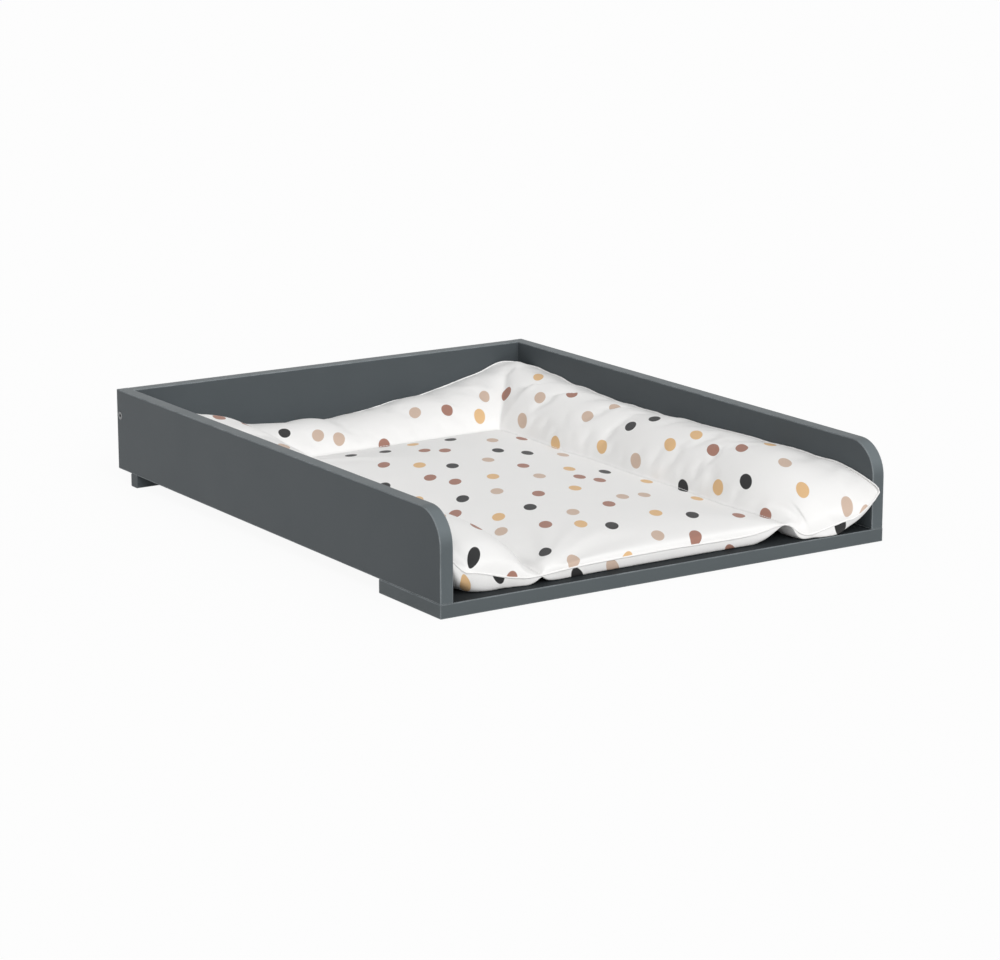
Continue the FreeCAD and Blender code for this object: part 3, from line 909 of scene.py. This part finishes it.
    def sheets(self) -> tuple[Array, Array]:
        """Lays out the cover before it is stuffed.

        Returns:
            The top and the bottom sheet, in rows of points from front to back.
        """
        over = self.middle_sheet(1.0)
        under = self.middle_sheet(self.tip_sag)
        puff = np.sin(math.pi * np.clip(self.spots().front / self.puff_reach, 0, 1))
        top = over + normals(over) * self.top_rise(over)[..., None]
        low = under - normals(under) * self.low_drop(under)[..., None]
        top[..., 1] -= self.front_puff * puff
        low[..., 1] -= self.front_under_puff * puff
        return self.held(top), self.held(low)

    def held(self, points: Array) -> Array:
        """Keeps points over what the pad lies on and, behind the boards' front edges, between the boards.

        Args:
            points: points in an array of any shape.

        Returns:
            The points where they can be.
        """
        lowest = (-self.wall_x, -math.inf, self.rest_z)
        within = np.clip(points, lowest, (self.wall_x, self.wall_y, math.inf))
        ahead = points[..., 1] < self.board_front
        within[..., 0] = np.where(ahead, points[..., 0], within[..., 0])
        return within

    def across(self) -> tuple[Array, Array]:
        """Divides the columns among the side wedges and the lying field.

        Returns:
            Each column's patch, from 0 at the left, and its share of the way across it.
        """
        bolster, centre = self.bolster_cells, self.centre_cells
        cells = np.array([bolster, centre, bolster])
        starts = np.array([0, bolster, bolster + centre])
        patch = np.repeat([0, 1, 2], [bolster, centre + 1, bolster])
        return patch, (np.arange(self.columns + 1) - starts[patch]) / cells[patch]

    def row_places(self) -> Array:
        """Spaces the rows, which are close together at the front edge.

        Returns:
            Where the rows run, from the front edge to the back wall.
        """
        near = self.front_y + np.array(self.front_steps)
        length = np.linspace(near[-1], self.seam_y, self.length_cells - len(near) + 2)
        head = np.linspace(self.seam_y, self.wall_y, self.bolster_cells + 1)
        return np.concatenate([near, length[1:], head[1:]])

    def on_right(self) -> Array:
        """True for the columns right of the middle."""
        return np.arange(self.columns + 1)[None] > self.columns / 2

    def off_rim(self) -> Array:
        """Marks the outer seam, where the two sheets meet.

        Returns:
            Nought on the outer seam and one elsewhere, by row and column.
        """
        mask = np.zeros((self.rows + 1, self.columns + 1))
        mask[1:-1, 1:-1] = 1
        return mask

    def seam_mask(self) -> Array:
        """Marks the outer seam and the three inner seams.

        Returns:
            True on every sewn line, by row and column.
        """
        count, first, last = self.bolster_cells, self.length_cells, self.columns
        mask = self.off_rim() == 0
        mask[: first + 1, count] = True
        mask[: first + 1, last - count] = True
        mask[first, count : last - count + 1] = True
        return mask

    def numbers(self) -> tuple[Array, Array]:
        """Numbers the vertices of the two sheets, which share the rim.

        Returns:
            The numbers of the top and of the bottom sheet, by row and column.
        """
        inside = self.off_rim() > 0
        upper = np.arange(inside.size).reshape(inside.shape)
        lower = upper.copy()
        lower[inside] = inside.size + np.arange(inside.sum())
        return upper, lower

    def cell_faces(self, row: int, column: int) -> list[list[tuple[int, int]]]:
        """Divides a cell in two where a mitre crosses it.

        Args:
            row: the cell's row.
            column: its column.

        Returns:
            Its faces as row and column pairs: one square or two triangles.
        """
        count = self.bolster_cells
        a, b, c, d = (row, column), (row, column + 1), (row + 1, column + 1), (row + 1, column)
        behind = row - self.length_cells
        if behind >= 0 and column == count - 1 - behind:
            return [[a, b, d], [b, c, d]]
        if behind >= 0 and column == self.columns - count + behind:
            return [[a, b, c], [a, c, d]]
        return [[a, b, c, d]]

    def rings(self) -> tuple[Array, Array]:
        """Counts the cells outside the lying field.

        Returns:
            How many cells each vertex lies out to the side, and how many behind.
        """
        row, column = np.mgrid[0 : self.rows + 1, 0 : self.columns + 1]
        out = np.clip(self.bolster_cells - np.minimum(column, self.columns - column), 0, None)
        return out, np.clip(row - self.length_cells, 0, None)

    def spots(self) -> Spots:
        """Places each vertex in its own wedge or field.

        Returns:
            Where each vertex lies.
        """
        count = self.bolster_cells
        out, behind = self.rings()
        side = (out > 0) & (out >= behind)
        back = (behind > 0) & (behind > out)
        size = np.where(side, count - behind, np.where(back, count - out, count)) / count
        reach = np.maximum(size * count, 1)
        places = np.broadcast_to(self.row_places()[:, None], out.shape)
        across = (np.arange(self.columns + 1) - self.columns / 2) * (self.wall_x * 2 / self.columns)
        return Spots(
            side=side,
            centre=~side & ~back,
            part=np.where(side, (out - behind) / reach, np.where(back, (behind - out) / reach, 0)),
            ring=np.maximum(out, behind) / count,
            size=size,
            front=places - self.front_y,
            along=np.where(side, places, across),
        )

    def rim_height(self, rim: Curve, seed: Seed, places: Array, to_corner: Array, wave: float) -> Array:
        """The height of an outer seam, a little uneven away from its corners."""
        fade = np.clip(to_corner / self.wave_fade, 0, 1)
        return rim.at(places)[:, 0] + wave * fade * ripple(places, self.wave_length, seed)

    def side_heights(self, along: Array) -> list[Array]:
        """The heights of the left and the right outer seam."""
        sides = ((self.left_rim, Seed.left_rim), (self.right_rim, Seed.right_rim))
        return [self.rim_height(*side, along, self.wall_y - along, self.side_wave) for side in sides]

    def middle_sheet(self, tip_turn: float) -> Array:
        """The surface halfway between the two sheets.

        Args:
            tip_turn: how sharply the right front tip turns down, from 0 to 1.

        Returns:
            Rows of points from front to back.
        """
        points = np.zeros((self.rows + 1, self.columns + 1, 3))
        self.lay_length(points, tip_turn)
        self.lay_head(points)
        self.lay_side_ends(points)
        self.ease_mitres(points)
        self.round_corners(points)
        self.blunt_tips(points)
        return points

    def lay_length(self, points: Array, tip_turn: float) -> None:
        """Places the rows from the front edge to the back seam.

        Args:
            points: the middle sheet, which is changed in place.
            tip_turn: how sharply the right front tip turns down, from 0 to 1.
        """
        count = self.length_cells + 1
        along = self.row_places()[:count]
        patch, share = self.across()
        left, right = self.left_seam.at(along), self.right_seam.at(along)
        left_x = left[:, 0] + self.sway * ripple(along, self.sway_length, Seed.left_seam)
        right_x = right[:, 0] + self.sway * ripple(along, self.sway_length, Seed.right_seam)
        left_rim, right_rim = self.side_heights(along)
        ends_x = (np.full(count, -self.wall_x), left_x, right_x, np.full(count, self.wall_x))
        ends_z = (left_rim, left[:, 1], right[:, 1], right_rim)
        for column, (field, part) in enumerate(zip(patch, share)):
            points[:count, column, 0] = ends_x[field] * (1 - part) + ends_x[field + 1] * part
            points[:count, column, 1] = along
            points[:count, column, 2] = ends_z[field] * (1 - part) + ends_z[field + 1] * part
        edge = self.front_edge.at(patch + share)
        behind = (along - self.front_y)[:, None]
        past_tip = (patch + share - self.tip_start) / (self.patches - self.tip_start)
        tip = tip_turn * np.clip(past_tip, 0, 1)[None]
        settled = np.exp(-((behind / self.front_settle) ** 2))
        fade = (1 - tip) * settled + tip * np.exp(-behind / self.tip_settle)
        points[:count] += fade[..., None] * (edge - points[0])[None]

    def lay_head(self, points: Array) -> None:
        """Places the head wedge, from the back seam and the mitres to the back wall.

        Args:
            points: the middle sheet, which is changed in place.
        """
        count, first = self.bolster_cells, self.length_cells
        head = points[first, :, 0].copy()
        to_corner = self.wall_x - np.abs(head)
        head_z = self.rim_height(self.back_rim, Seed.head_rim, head, to_corner, self.head_wave)
        for column in range(self.columns + 1):
            begin = max(0, count - min(column, self.columns - column))
            start = self.mitre(points, column, begin) if begin else points[first, column].copy()
            end = np.array([head[column], self.wall_y, head_z[column]])
            parts = np.arange(count - begin + 1) / max(1, count - begin)
            points[first + begin : first + count + 1, column] = between(start, end, parts)

    def lay_side_ends(self, points: Array) -> None:
        """Places the rear ends of the side wedges, from the side walls to the mitres.

        Args:
            points: the middle sheet, which is changed in place.
        """
        count, first = self.bolster_cells, self.length_cells
        wall_rows = self.row_places()[first:]
        left_rim, right_rim = self.side_heights(wall_rows)
        for row in range(1, count):
            cells = np.arange(count - row + 1)
            sides = ((-self.wall_x, left_rim, cells), (self.wall_x, right_rim, self.columns - cells))
            for wall, rim, columns in sides:
                outer = np.array([wall, wall_rows[row], rim[row]])
                inner = points[first + row, columns[-1]].copy()
                points[first + row, columns] = between(outer, inner, cells / (count - row))

    def mitre(self, points: Array, column: int, rise: int) -> Array:
        """A point on the mitre between a side wedge and the head wedge.

        Args:
            points: the middle sheet, with the rows up to the back seam in place.
            column: the point's column.
            rise: its row, counted from the back seam.

        Returns:
            The point.
        """
        left = column < self.columns / 2
        inner = self.bolster_cells if left else self.columns - self.bolster_cells
        start = points[self.length_cells, inner]
        wall = -self.wall_x if left else self.wall_x
        end = np.array([wall, self.wall_y, self.back_rim.at(np.array([wall]))[0, 0]])
        part = rise / self.bolster_cells
        bent = np.array([part, part, part**self.mitre_bow])
        return start * (1 - bent) + end * bent

    def ease_mitres(self, points: Array) -> None:
        """Turns the creases of the two mitres into soft hollows.

        Args:
            points: the middle sheet, which is changed in place.
        """
        out, behind = self.rings()
        near = np.exp(-(((out - behind) / self.mitre_width) ** 2)) * (out > 0) * (behind > 0)
        near = (near * self.off_rim())[..., None]
        for _ in range(self.mitre_ease):
            padded = np.pad(points, ((1, 1), (1, 1), (0, 0)), mode="edge")
            mean = (padded[2:, 1:-1] + padded[:-2, 1:-1] + padded[1:-1, 2:] + padded[1:-1, :-2]) / 4
            points += near * (mean - points)

    def round_corners(self, points: Array) -> None:
        """Draws the two rear corners in, so that they are round in plan.

        Args:
            points: the middle sheet, which is changed in place.
        """
        back = np.clip(points[..., 1] - (self.wall_y - self.corner_round), 0, None)
        for side in (-1, 1):
            out = np.clip(side * points[..., 0] - (self.wall_x - self.corner_round), 0, None)
            slip = corner_slip(out, back)
            points[..., 0] -= side * out * slip
            points[..., 1] -= back * slip

    def blunt_tips(self, points: Array) -> None:
        """Rounds the two front corners, where the front seam meets the side seams.

        Args:
            points: the middle sheet, which is changed in place.
        """
        for step in (1, -1):
            turned = points[:, ::step]
            front, side = turned[0].copy(), turned[:, 0].copy()
            inset = np.clip(self.tip_round - np.linalg.norm(front - front[0], axis=1), 0, None)[None]
            behind = np.clip(self.tip_round - np.linalg.norm(side - side[0], axis=1), 0, None)[:, None]
            slip = corner_slip(inset, behind)
            for share, line in ((inset * slip, front), (behind * slip, side)):
                way = line[self.tip_cells] - line[0]
                turned += share[..., None] * way / np.linalg.norm(way)

    def top_rise(self, middle: Array) -> Array:
        """Raises the top sheet over the middle sheet.

        Args:
            middle: the middle sheet.

        Returns:
            How far it stands over each point, by row and column.
        """
        where = self.spots()
        swollen = self.swell(where.part)
        mitred = (1 - self.mitre_fullness) * where.size**self.mitre_taper * swollen
        full = mitred + self.mitre_fullness * self.swell(where.ring)
        crown = np.where(where.side, self.side_crown, self.back_crown)
        wedge = crown * full * rounded(where.front, self.front_round)
        field = (self.lying_top - middle[..., 2]) * self.field_edges(self.front_over_round)
        rise = np.where(where.centre, field, wedge)
        rise += self.puckers(where) * (rise > self.gather_from)
        right = where.side & self.on_right()
        for fold in self.folds:
            rise += np.where(right, fold.rise(where.part * self.bolster_cut, where.along) * swollen, 0)
        return np.maximum(rise, self.pinch / 2) * self.off_rim()

    def swell(self, share: Array) -> Array:
        """A wedge's fullness from its inner seam to its rim: steep at the seam, easing off to the rim."""
        return lens(share) ** np.where(share < 0.5, self.seam_swell, self.rim_swell)

    def puckers(self, where: Spots) -> Array:
        """Gathers the cover a little along the seams of the wedges.

        Args:
            where: where each vertex lies.

        Returns:
            The height that the gathers add, by row and column.
        """
        inner = where.part * self.bolster_cut
        outer = (1 - where.part) * self.bolster_cut * where.size
        near = self.inner_gathers.rise(where.along, inner) + self.outer_gathers.rise(where.along, outer)
        return np.where(where.centre, 0, near + self.broad_gathers.rise(where.along, inner))

    def low_drop(self, middle: Array) -> Array:
        """Drops the bottom sheet under the middle sheet.

        Args:
            middle: the middle sheet.

        Returns:
            How far it hangs under each point, by row and column.
        """
        where = self.spots()
        right = self.on_right()
        ends = [rounded(where.front, reach) for reach in (self.right_under_round, self.left_under_round)]
        gather = np.where(right, np.clip(where.ring / self.under_gather, 0, 1), 1)
        wedge = self.underside * lens(where.ring) ** self.under_swell * np.where(right, *ends) * gather
        from_right = (self.columns - self.bolster_cells - np.arange(self.columns + 1))[None]
        drawn = np.clip(self.field_width(from_right) / self.lying_gather, 0, 1)
        field = (middle[..., 2] - self.lying_low) * self.field_edges(self.front_under_round) * drawn
        drop = np.where(where.centre, field, wedge)
        return np.maximum(drop, self.pinch / 2) * self.off_rim()

    def field_width(self, cells: Array) -> Array:
        """The width of so many cells of the lying field."""
        return cells * 2 * self.lying_half / self.centre_cells

    def field_edges(self, front_round: float) -> Array:
        """Swells the lying field away from its seams.

        Args:
            front_round: how far the rounding reaches from the front edge.

        Returns:
            From 0 at the seams to 1 past their rounding, by row and column.
        """
        column = np.arange(self.columns + 1)[None]
        inset = np.clip(np.minimum(column, self.columns - column) - self.bolster_cells, 0, None)
        places = self.row_places()[:, None]
        behind = np.clip(self.seam_y - places, 0, None)
        seams = rounded(self.field_width(inset), self.lying_round) * rounded(behind, self.lying_round)
        return seams * rounded(places - self.front_y, front_round)


def add_piece(name: str, places: Array, faces: list) -> Piece:
    """Adds a smooth mesh to the scene.

    Args:
        name: the piece's name.
        places: its vertices.
        faces: their numbers, face by face.

    Returns:
        The new object.
    """
    mesh = bpy.data.meshes.new(name)
    mesh.from_pydata(places.tolist(), [], faces)
    mesh.polygons.foreach_set("use_smooth", np.ones(len(faces), bool))
    piece = bpy.data.objects.new(name, mesh)
    bpy.context.scene.collection.objects.link(piece)
    return piece


def vertices(mesh: bpy.types.Mesh) -> Array:
    """Reads a mesh's vertices.

    Args:
        mesh: the mesh.

    Returns:
        The vertices as rows of three.
    """
    places = np.empty(len(mesh.vertices) * 3)
    mesh.vertices.foreach_get("co", places)
    return places.reshape(-1, 3)


def evaluated(piece: Piece) -> Piece:
    """The piece as its modifiers leave it."""
    return piece.evaluated_get(bpy.context.evaluated_depsgraph_get())


@dataclass(frozen=True)
class PadCover:
    """The pad's cover: two printed sheets, sewn together round the rim, stuffed and settled."""

    shape: WedgePad
    low_print: Span = (0.71, 0.39)
    print_ease: int = 40
    field_fill: float = 0.15
    pressure: float = 4.0
    slack: float = 0.008
    stretch: float = 12.0
    shear: float = 6.0
    bending: float = 0.4
    air_damping: float = 2.0
    quality: int = 6
    frames: int = 24
    most_move: float = 0.014
    crispness: float = 0.6

    def build(self) -> Piece:
        """Sews, stuffs and settles the pad.

        Returns:
            The pad's object.
        """
        pad = self.sew(*self.shape.sheets())
        self.settle(pad)
        self.smooth(pad)
        return pad

    def unroll(self, sheet: Array) -> Array:
        """Where each point of a sheet lies on the flat cloth.

        Args:
            sheet: the sheet's rows of points.

        Returns:
            Two lengths along the cloth for each point, from the middle of the lying field.
        """
        flat = np.zeros(sheet.shape[:2] + (2,))
        for axis, middle in ((1, self.shape.columns // 2), (0, self.shape.length_cells // 2)):
            steps = np.linalg.norm(np.diff(sheet, axis=axis), axis=2)
            run = np.insert(np.cumsum(steps, axis=axis), 0, 0, axis=axis)
            flat[..., 1 - axis] = run - np.take(run, [middle], axis=axis)
        slip = flat - sheet[..., :2]
        for _ in range(self.print_ease):
            across = np.pad(slip[..., 0], ((1, 1), (0, 0)), mode="edge")
            along = np.pad(slip[..., 1], ((0, 0), (1, 1)), mode="edge")
            slip[..., 0] = (across[2:] + 2 * across[1:-1] + across[:-2]) / 4
            slip[..., 1] = (along[:, 2:] + 2 * along[:, 1:-1] + along[:, :-2]) / 4
        return sheet[..., :2] + slip

    def sew(self, top: Array, low: Array) -> Piece:
        """Joins the two sheets along the outer seam into one closed mesh.

        Args:
            top: the top sheet's rows of points.
            low: the bottom sheet's rows of points.

        Returns:
            The sewn cover, with its print map and its groups of sewn and stuffed vertices.
        """
        shape = self.shape
        upper, lower = shape.numbers()
        faces, prints = [], []
        for sheet, flat in ((upper, self.unroll(top)), (lower, self.unroll(low) + self.low_print)):
            for row, column in np.ndindex(shape.rows, shape.columns):
                for face in shape.cell_faces(row, column):
                    ring = face if sheet is upper else face[::-1]
                    faces.append([int(sheet[spot]) for spot in ring])
                    prints += [flat[spot] for spot in ring]
        places = np.concatenate([top.reshape(-1, 3), low[shape.off_rim() > 0]])
        pad = add_piece("wedge_pad", places, faces)
        print_map = pad.data.uv_layers.new(name=PRINT_MAP)
        print_map.data.foreach_set("uv", np.array(prints, np.float32).ravel())
        self.mark(pad)
        return pad

    def mark(self, pad: Piece) -> None:
        """Groups the vertices that are sewn fast, filled firmly, or cut without slack.

        Args:
            pad: the pad's object.
        """
        centre = self.shape.spots().centre
        groups = {name: pad.vertex_groups.new(name=name) for name in ("sewn", "filled", "tight")}
        members = (
            ("sewn", self.shape.seam_mask(), 1.0),
            ("filled", ~centre, 1.0),
            ("filled", centre, self.field_fill),
            ("tight", centre, 1.0),
        )
        for sheet in self.shape.numbers():
            for name, mask, weight in members:
                groups[name].add(np.unique(sheet[mask]).tolist(), weight, "REPLACE")

    def settle(self, pad: Piece) -> None:
        """Swells the cover by a cloth simulation and keeps the result in the mesh.

        Args:
            pad: the pad's object.
        """
        cloth = pad.modifiers.new("stuffing", "CLOTH")
        settings = cloth.settings
        settings.quality = self.quality
        settings.tension_stiffness = self.stretch
        settings.compression_stiffness = self.stretch
        settings.shear_stiffness = self.shear
        settings.bending_stiffness = self.bending
        settings.air_damping = self.air_damping
        settings.use_pressure = True
        settings.uniform_pressure_force = self.pressure
        settings.vertex_group_mass = "sewn"
        settings.vertex_group_pressure = "filled"
        settings.vertex_group_shrink = "tight"
        settings.shrink_min = -self.slack
        settings.shrink_max = 0.0
        settings.effector_weights.gravity = 0.0
        cloth.point_cache.frame_end = self.frames
        scene = bpy.context.scene
        for step in range(1, self.frames + 1):
            scene.frame_set(step)
        before = vertices(pad.data)
        move = vertices(evaluated(pad).data) - before
        pad.modifiers.remove(cloth)
        scene.frame_set(1)
        length = np.linalg.norm(move, axis=1, keepdims=True)
        log.info("pad settled by up to %.1f mm", 1000 * length.max())
        soft = self.most_move * np.tanh(length / self.most_move)
        settled = self.shape.held(before + move / np.maximum(length, SMALL) * soft)
        pad.data.vertices.foreach_set("co", settled.ravel())
        pad.data.update()

    def smooth(self, pad: Piece) -> None:
        """Subdivides the settled mesh once, with the sewn lines kept crisp, and keeps the result.

        Args:
            pad: the pad's object.
        """
        ends = np.empty(len(pad.data.edges) * 2, np.int32)
        pad.data.edges.foreach_get("vertices", ends)
        sewn = np.zeros(len(pad.data.vertices), bool)
        for sheet in self.shape.numbers():
            sewn[sheet[self.shape.seam_mask()]] = True
        crisp = self.crispness * np.all(sewn[ends.reshape(-1, 2)], axis=1)
        crease = pad.data.attributes.new("crease_edge", "FLOAT", "EDGE")
        crease.data.foreach_set("value", crisp.astype(np.float32))
        finer = pad.modifiers.new("smoothing", "SUBSURF")
        finer.levels = 1
        mesh = bpy.data.meshes.new_from_object(evaluated(pad))
        pad.modifiers.remove(finer)
        pad.data = mesh
        mesh.polygons.foreach_set("use_smooth", np.ones(len(mesh.polygons), bool))

    def rim_path(self, pad: Piece) -> Array:
        """Follows the outer seam of the finished pad.

        Args:
            pad: the pad's object.

        Returns:
            Its points, once round from the front left corner.
        """
        upper = self.shape.numbers()[0]
        ring = [upper[0, :-1], upper[:-1, -1], upper[-1, :0:-1], upper[:0:-1, 0]]
        return vertices(pad.data)[np.concatenate(ring)]

    def seam_paths(self, pad: Piece) -> dict[str, Array]:
        """Follows the inner seams of the finished pad.

        Args:
            pad: the pad's object.

        Returns:
            The points of each seam on the top sheet, by the name of its stitches.
        """
        upper = self.shape.numbers()[0]
        count, first, last = self.shape.bolster_cells, self.shape.length_cells, self.shape.columns
        lines = {
            "left_seam_stitches": upper[1 : first + 1, count],
            "right_seam_stitches": upper[1 : first + 1, last - count],
            "back_seam_stitches": upper[first, count : last - count + 1],
        }
        places = vertices(pad.data)
        return {name: places[line] for name, line in lines.items()}

    def dress(self, pad: Piece) -> None:
        """Gives the pad its printed cover and puts it in place of its solids.

        Args:
            pad: the pad's object.
        """
        pad.data.materials.clear()
        pad.data.materials.append(COVER.material())
        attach(pad, "pad")
        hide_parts("pad_centre", "pad_left_bolster", "pad_right_bolster", "pad_back_bolster")
        log.info("%s: %d faces", pad.name, len(pad.data.polygons))


@dataclass(frozen=True)
class SeamWork:
    """The sewing that shows on the pad: the turned edge of its outer seam, and its rows of stitches."""

    edge_radius: float = 0.0010
    edge_lift: float = 0.0006
    edge_uneven: float = 0.14
    edge_gather: float = 0.012
    stitch_pitch: float = 0.0042
    stitch_length: float = 0.0033
    stitch_radius: float = 0.00042
    stitch_shares: tuple[float, ...] = (0.0, 0.18, 0.5, 0.82, 1.0)
    stitch_swell: tuple[float, ...] = (0.35, 0.85, 1.0, 0.85, 0.35)
    stitch_rise: tuple[float, ...] = (-0.2, 0.5, 0.8, 0.5, -0.2)
    sides: int = 8

    def tube(self, path: Array, radii: Array, closed: bool) -> tuple[Array, list[list[int]]]:
        """Sweeps a round section along a path.

        Args:
            path: the points that it follows.
            radii: the section's radius at each of them.
            closed: whether the path comes back to its start.

        Returns:
            The tube's vertices and its faces.
        """
        if closed:
            way = np.roll(path, -1, axis=0) - np.roll(path, 1, axis=0)
        else:
            way = np.gradient(path, axis=0)
        way /= np.linalg.norm(way, axis=1, keepdims=True)
        level = np.cross(way, (0.0, 0.0, 1.0))
        level /= np.maximum(np.linalg.norm(level, axis=1, keepdims=True), SMALL)
        upright = np.cross(level, way)
        angles = np.linspace(0, 2 * math.pi, self.sides, endpoint=False)[None, :, None]
        ring = np.cos(angles) * level[:, None] + np.sin(angles) * upright[:, None]
        places = (path[:, None] + ring * radii[:, None, None]).reshape(-1, 3)
        count = len(path)
        faces = []
        for step in range(count if closed else count - 1):
            after = (step + 1) % count
            for side in range(self.sides):
                other = (side + 1) % self.sides
                corners = [(step, other), (step, side), (after, side), (after, other)]
                faces.append([at * self.sides + spot for at, spot in corners])
        if not closed:
            faces.append(list(range(self.sides)))
            faces.append([(count - 1) * self.sides + spot for spot in reversed(range(self.sides))])
        return places, faces

    def lengths(self, path: Array) -> Array:
        """The distance along a path at each of its points."""
        steps = np.linalg.norm(np.diff(path, axis=0), axis=1)
        return np.concatenate([[0.0], np.cumsum(steps)])

    def edge(self, path: Array) -> None:
        """Adds the narrow turned edge along the outer seam, a little uneven from the gathers.

        Args:
            path: the outer seam's points.
        """
        uneven = 1 + self.edge_uneven * ripple(self.lengths(path), self.edge_gather, Seed.turned_edge)
        raised = path + np.array([0.0, 0.0, self.edge_lift])
        self.finish("pad_turned_edge", *self.tube(raised, self.edge_radius * uneven, closed=True))

    def stitches(self, name: str, path: Array) -> None:
        """Adds one row of stitches as one piece.

        Args:
            name: the piece's name.
            path: the seam that it follows.
        """
        along = self.lengths(path)
        places, faces, count = [], [], 0
        shares = np.array(self.stitch_shares)
        radii = np.array(self.stitch_swell) * self.stitch_radius
        rise = np.array(self.stitch_rise) * self.stitch_radius
        for begin in np.arange(self.stitch_pitch / 2, along[-1] - self.stitch_length, self.stitch_pitch):
            spots = begin + shares * self.stitch_length
            points = np.stack([np.interp(spots, along, path[:, axis]) for axis in range(3)], axis=1)
            points[:, 2] += rise + self.stitch_radius
            thread, sides = self.tube(points, radii, closed=False)
            places.append(thread)
            faces += [[corner + count for corner in face] for face in sides]
            count += len(thread)
        self.finish(name, np.concatenate(places), faces)

    def finish(self, name: str, places: Array, faces: list[list[int]]) -> None:
        """Adds a piece, gives it its cotton and lets it ride on the pad.

        Args:
            name: the piece's name.
            places: its vertices.
            faces: their numbers, face by face.
        """
        piece = add_piece(name, places, faces)
        piece.data.materials.append(COTTON.material())
        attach(piece, "pad")
        log.info("%s: %d faces", name, len(faces))


@dataclass(frozen=True)
class Studio:
    """A white sweep under soft light from above and all round, and the camera."""

    sky: float = 0.46
    key: float = 2.0
    key_spread: float = 60.0
    key_from: Point = (-0.18, -0.76, 0.62)
    floor_half: float = 25.0
    floor_colour: Colour = (0.86, 0.86, 0.86, 1.0)
    lift: float = 0.93
    camera_place: Point = (-1.99601, -3.07888, 0.91580)
    yaw: float = 33.217
    pitch: float = 13.477
    focal_pixels: float = 3160.6
    image_width: float = 1000.0
    sensor: float = 36.0
    farthest: float = 200.0

    def build(self) -> None:
        """Sets the view, the camera, the light and the floor."""
        bpy.context.scene.view_settings.view_transform = "Standard"
        self.place_camera()
        self.light_sky()
        self.light_key()
        self.lay_floor()

    def place_camera(self) -> None:
        """Stands the camera where the photograph was taken from."""
        lens_data = bpy.data.cameras.new("camera")
        lens_data.sensor_fit = "HORIZONTAL"
        lens_data.sensor_width = self.sensor
        lens_data.lens = self.sensor * self.focal_pixels / self.image_width
        lens_data.clip_end = self.farthest
        camera = bpy.data.objects.new("camera", lens_data)
        camera.location = self.camera_place
        camera.rotation_euler = (math.radians(90 - self.pitch), 0.0, -math.radians(self.yaw))
        bpy.context.scene.collection.objects.link(camera)
        bpy.context.scene.camera = camera

    def seen(self, graph: Graph) -> Socket:
        """Tells the rays that show a surface from those that light it.

        Args:
            graph: the nodes of the sky or the floor.

        Returns:
            One for a ray from the camera, in a gloss or through glass, and nought for others.
        """
        path = graph.node("LightPath").outputs
        direct = graph.math("MAXIMUM", path["Is Camera Ray"], path["Is Glossy Ray"])
        return graph.math("MAXIMUM", direct, path["Is Transmission Ray"])

    def light_sky(self) -> None:
        """A white dome that is plain white to the camera."""
        world = bpy.data.worlds.new("white_sweep")
        world.use_nodes = True
        bpy.context.scene.world = world
        graph = Graph(world.node_tree)
        world.node_tree.nodes.clear()
        soft = graph.node("Background", {"Color": WHITE, "Strength": self.sky})
        white = graph.node("Background", {"Color": WHITE, "Strength": 1.0})
        chosen = graph.node("MixShader", {0: self.seen(graph), 1: soft.outputs[0], 2: white.outputs[0]})
        graph.node("OutputWorld", {"Surface": chosen.outputs[0]})

    def light_key(self) -> None:
        """One very wide, soft light from the front and above."""
        lamp = bpy.data.lights.new("key", "SUN")
        lamp.energy = self.key
        lamp.angle = math.radians(self.key_spread)
        placed = bpy.data.objects.new("key", lamp)
        placed.rotation_euler = Vector(self.key_from).to_track_quat("Z", "Y").to_euler()
        bpy.context.scene.collection.objects.link(placed)

    def lay_floor(self) -> None:
        """A pale floor that is lifted to white where it is seen and keeps the shadow."""
        corners = self.floor_half * np.array([(-1, -1, 0), (1, -1, 0), (1, 1, 0), (-1, 1, 0)])
        floor = add_piece("floor", corners, [(0, 1, 2, 3)])
        paper = bpy.data.materials.new("white_paper")
        paper.use_nodes = True
        paper.node_tree.nodes.clear()
        graph = Graph(paper.node_tree)
        matt = graph.node("BsdfDiffuse", {"Color": self.floor_colour})
        glow = graph.node("Emission", {"Color": WHITE, "Strength": 1.0})
        share = graph.math("MULTIPLY", self.seen(graph), self.lift)
        chosen = graph.node("MixShader", {0: share, 1: matt.outputs[0], 2: glow.outputs[0]})
        graph.node("OutputMaterial", {"Surface": chosen.outputs[0]})
        floor.data.materials.append(paper)


def main() -> None:
    """Builds and dresses the changing top in its studio."""
    logging.basicConfig(level=logging.INFO, format="%(message)s")
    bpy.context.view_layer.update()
    Studio().build()
    Boardware().dress()
    cover = PadCover(WedgePad())
    pad = cover.build()
    cover.dress(pad)
    sewing = SeamWork()
    sewing.edge(cover.rim_path(pad))
    for name, path in cover.seam_paths(pad).items():
        sewing.stitches(name, path)


if __name__ == "__main__":
    main()
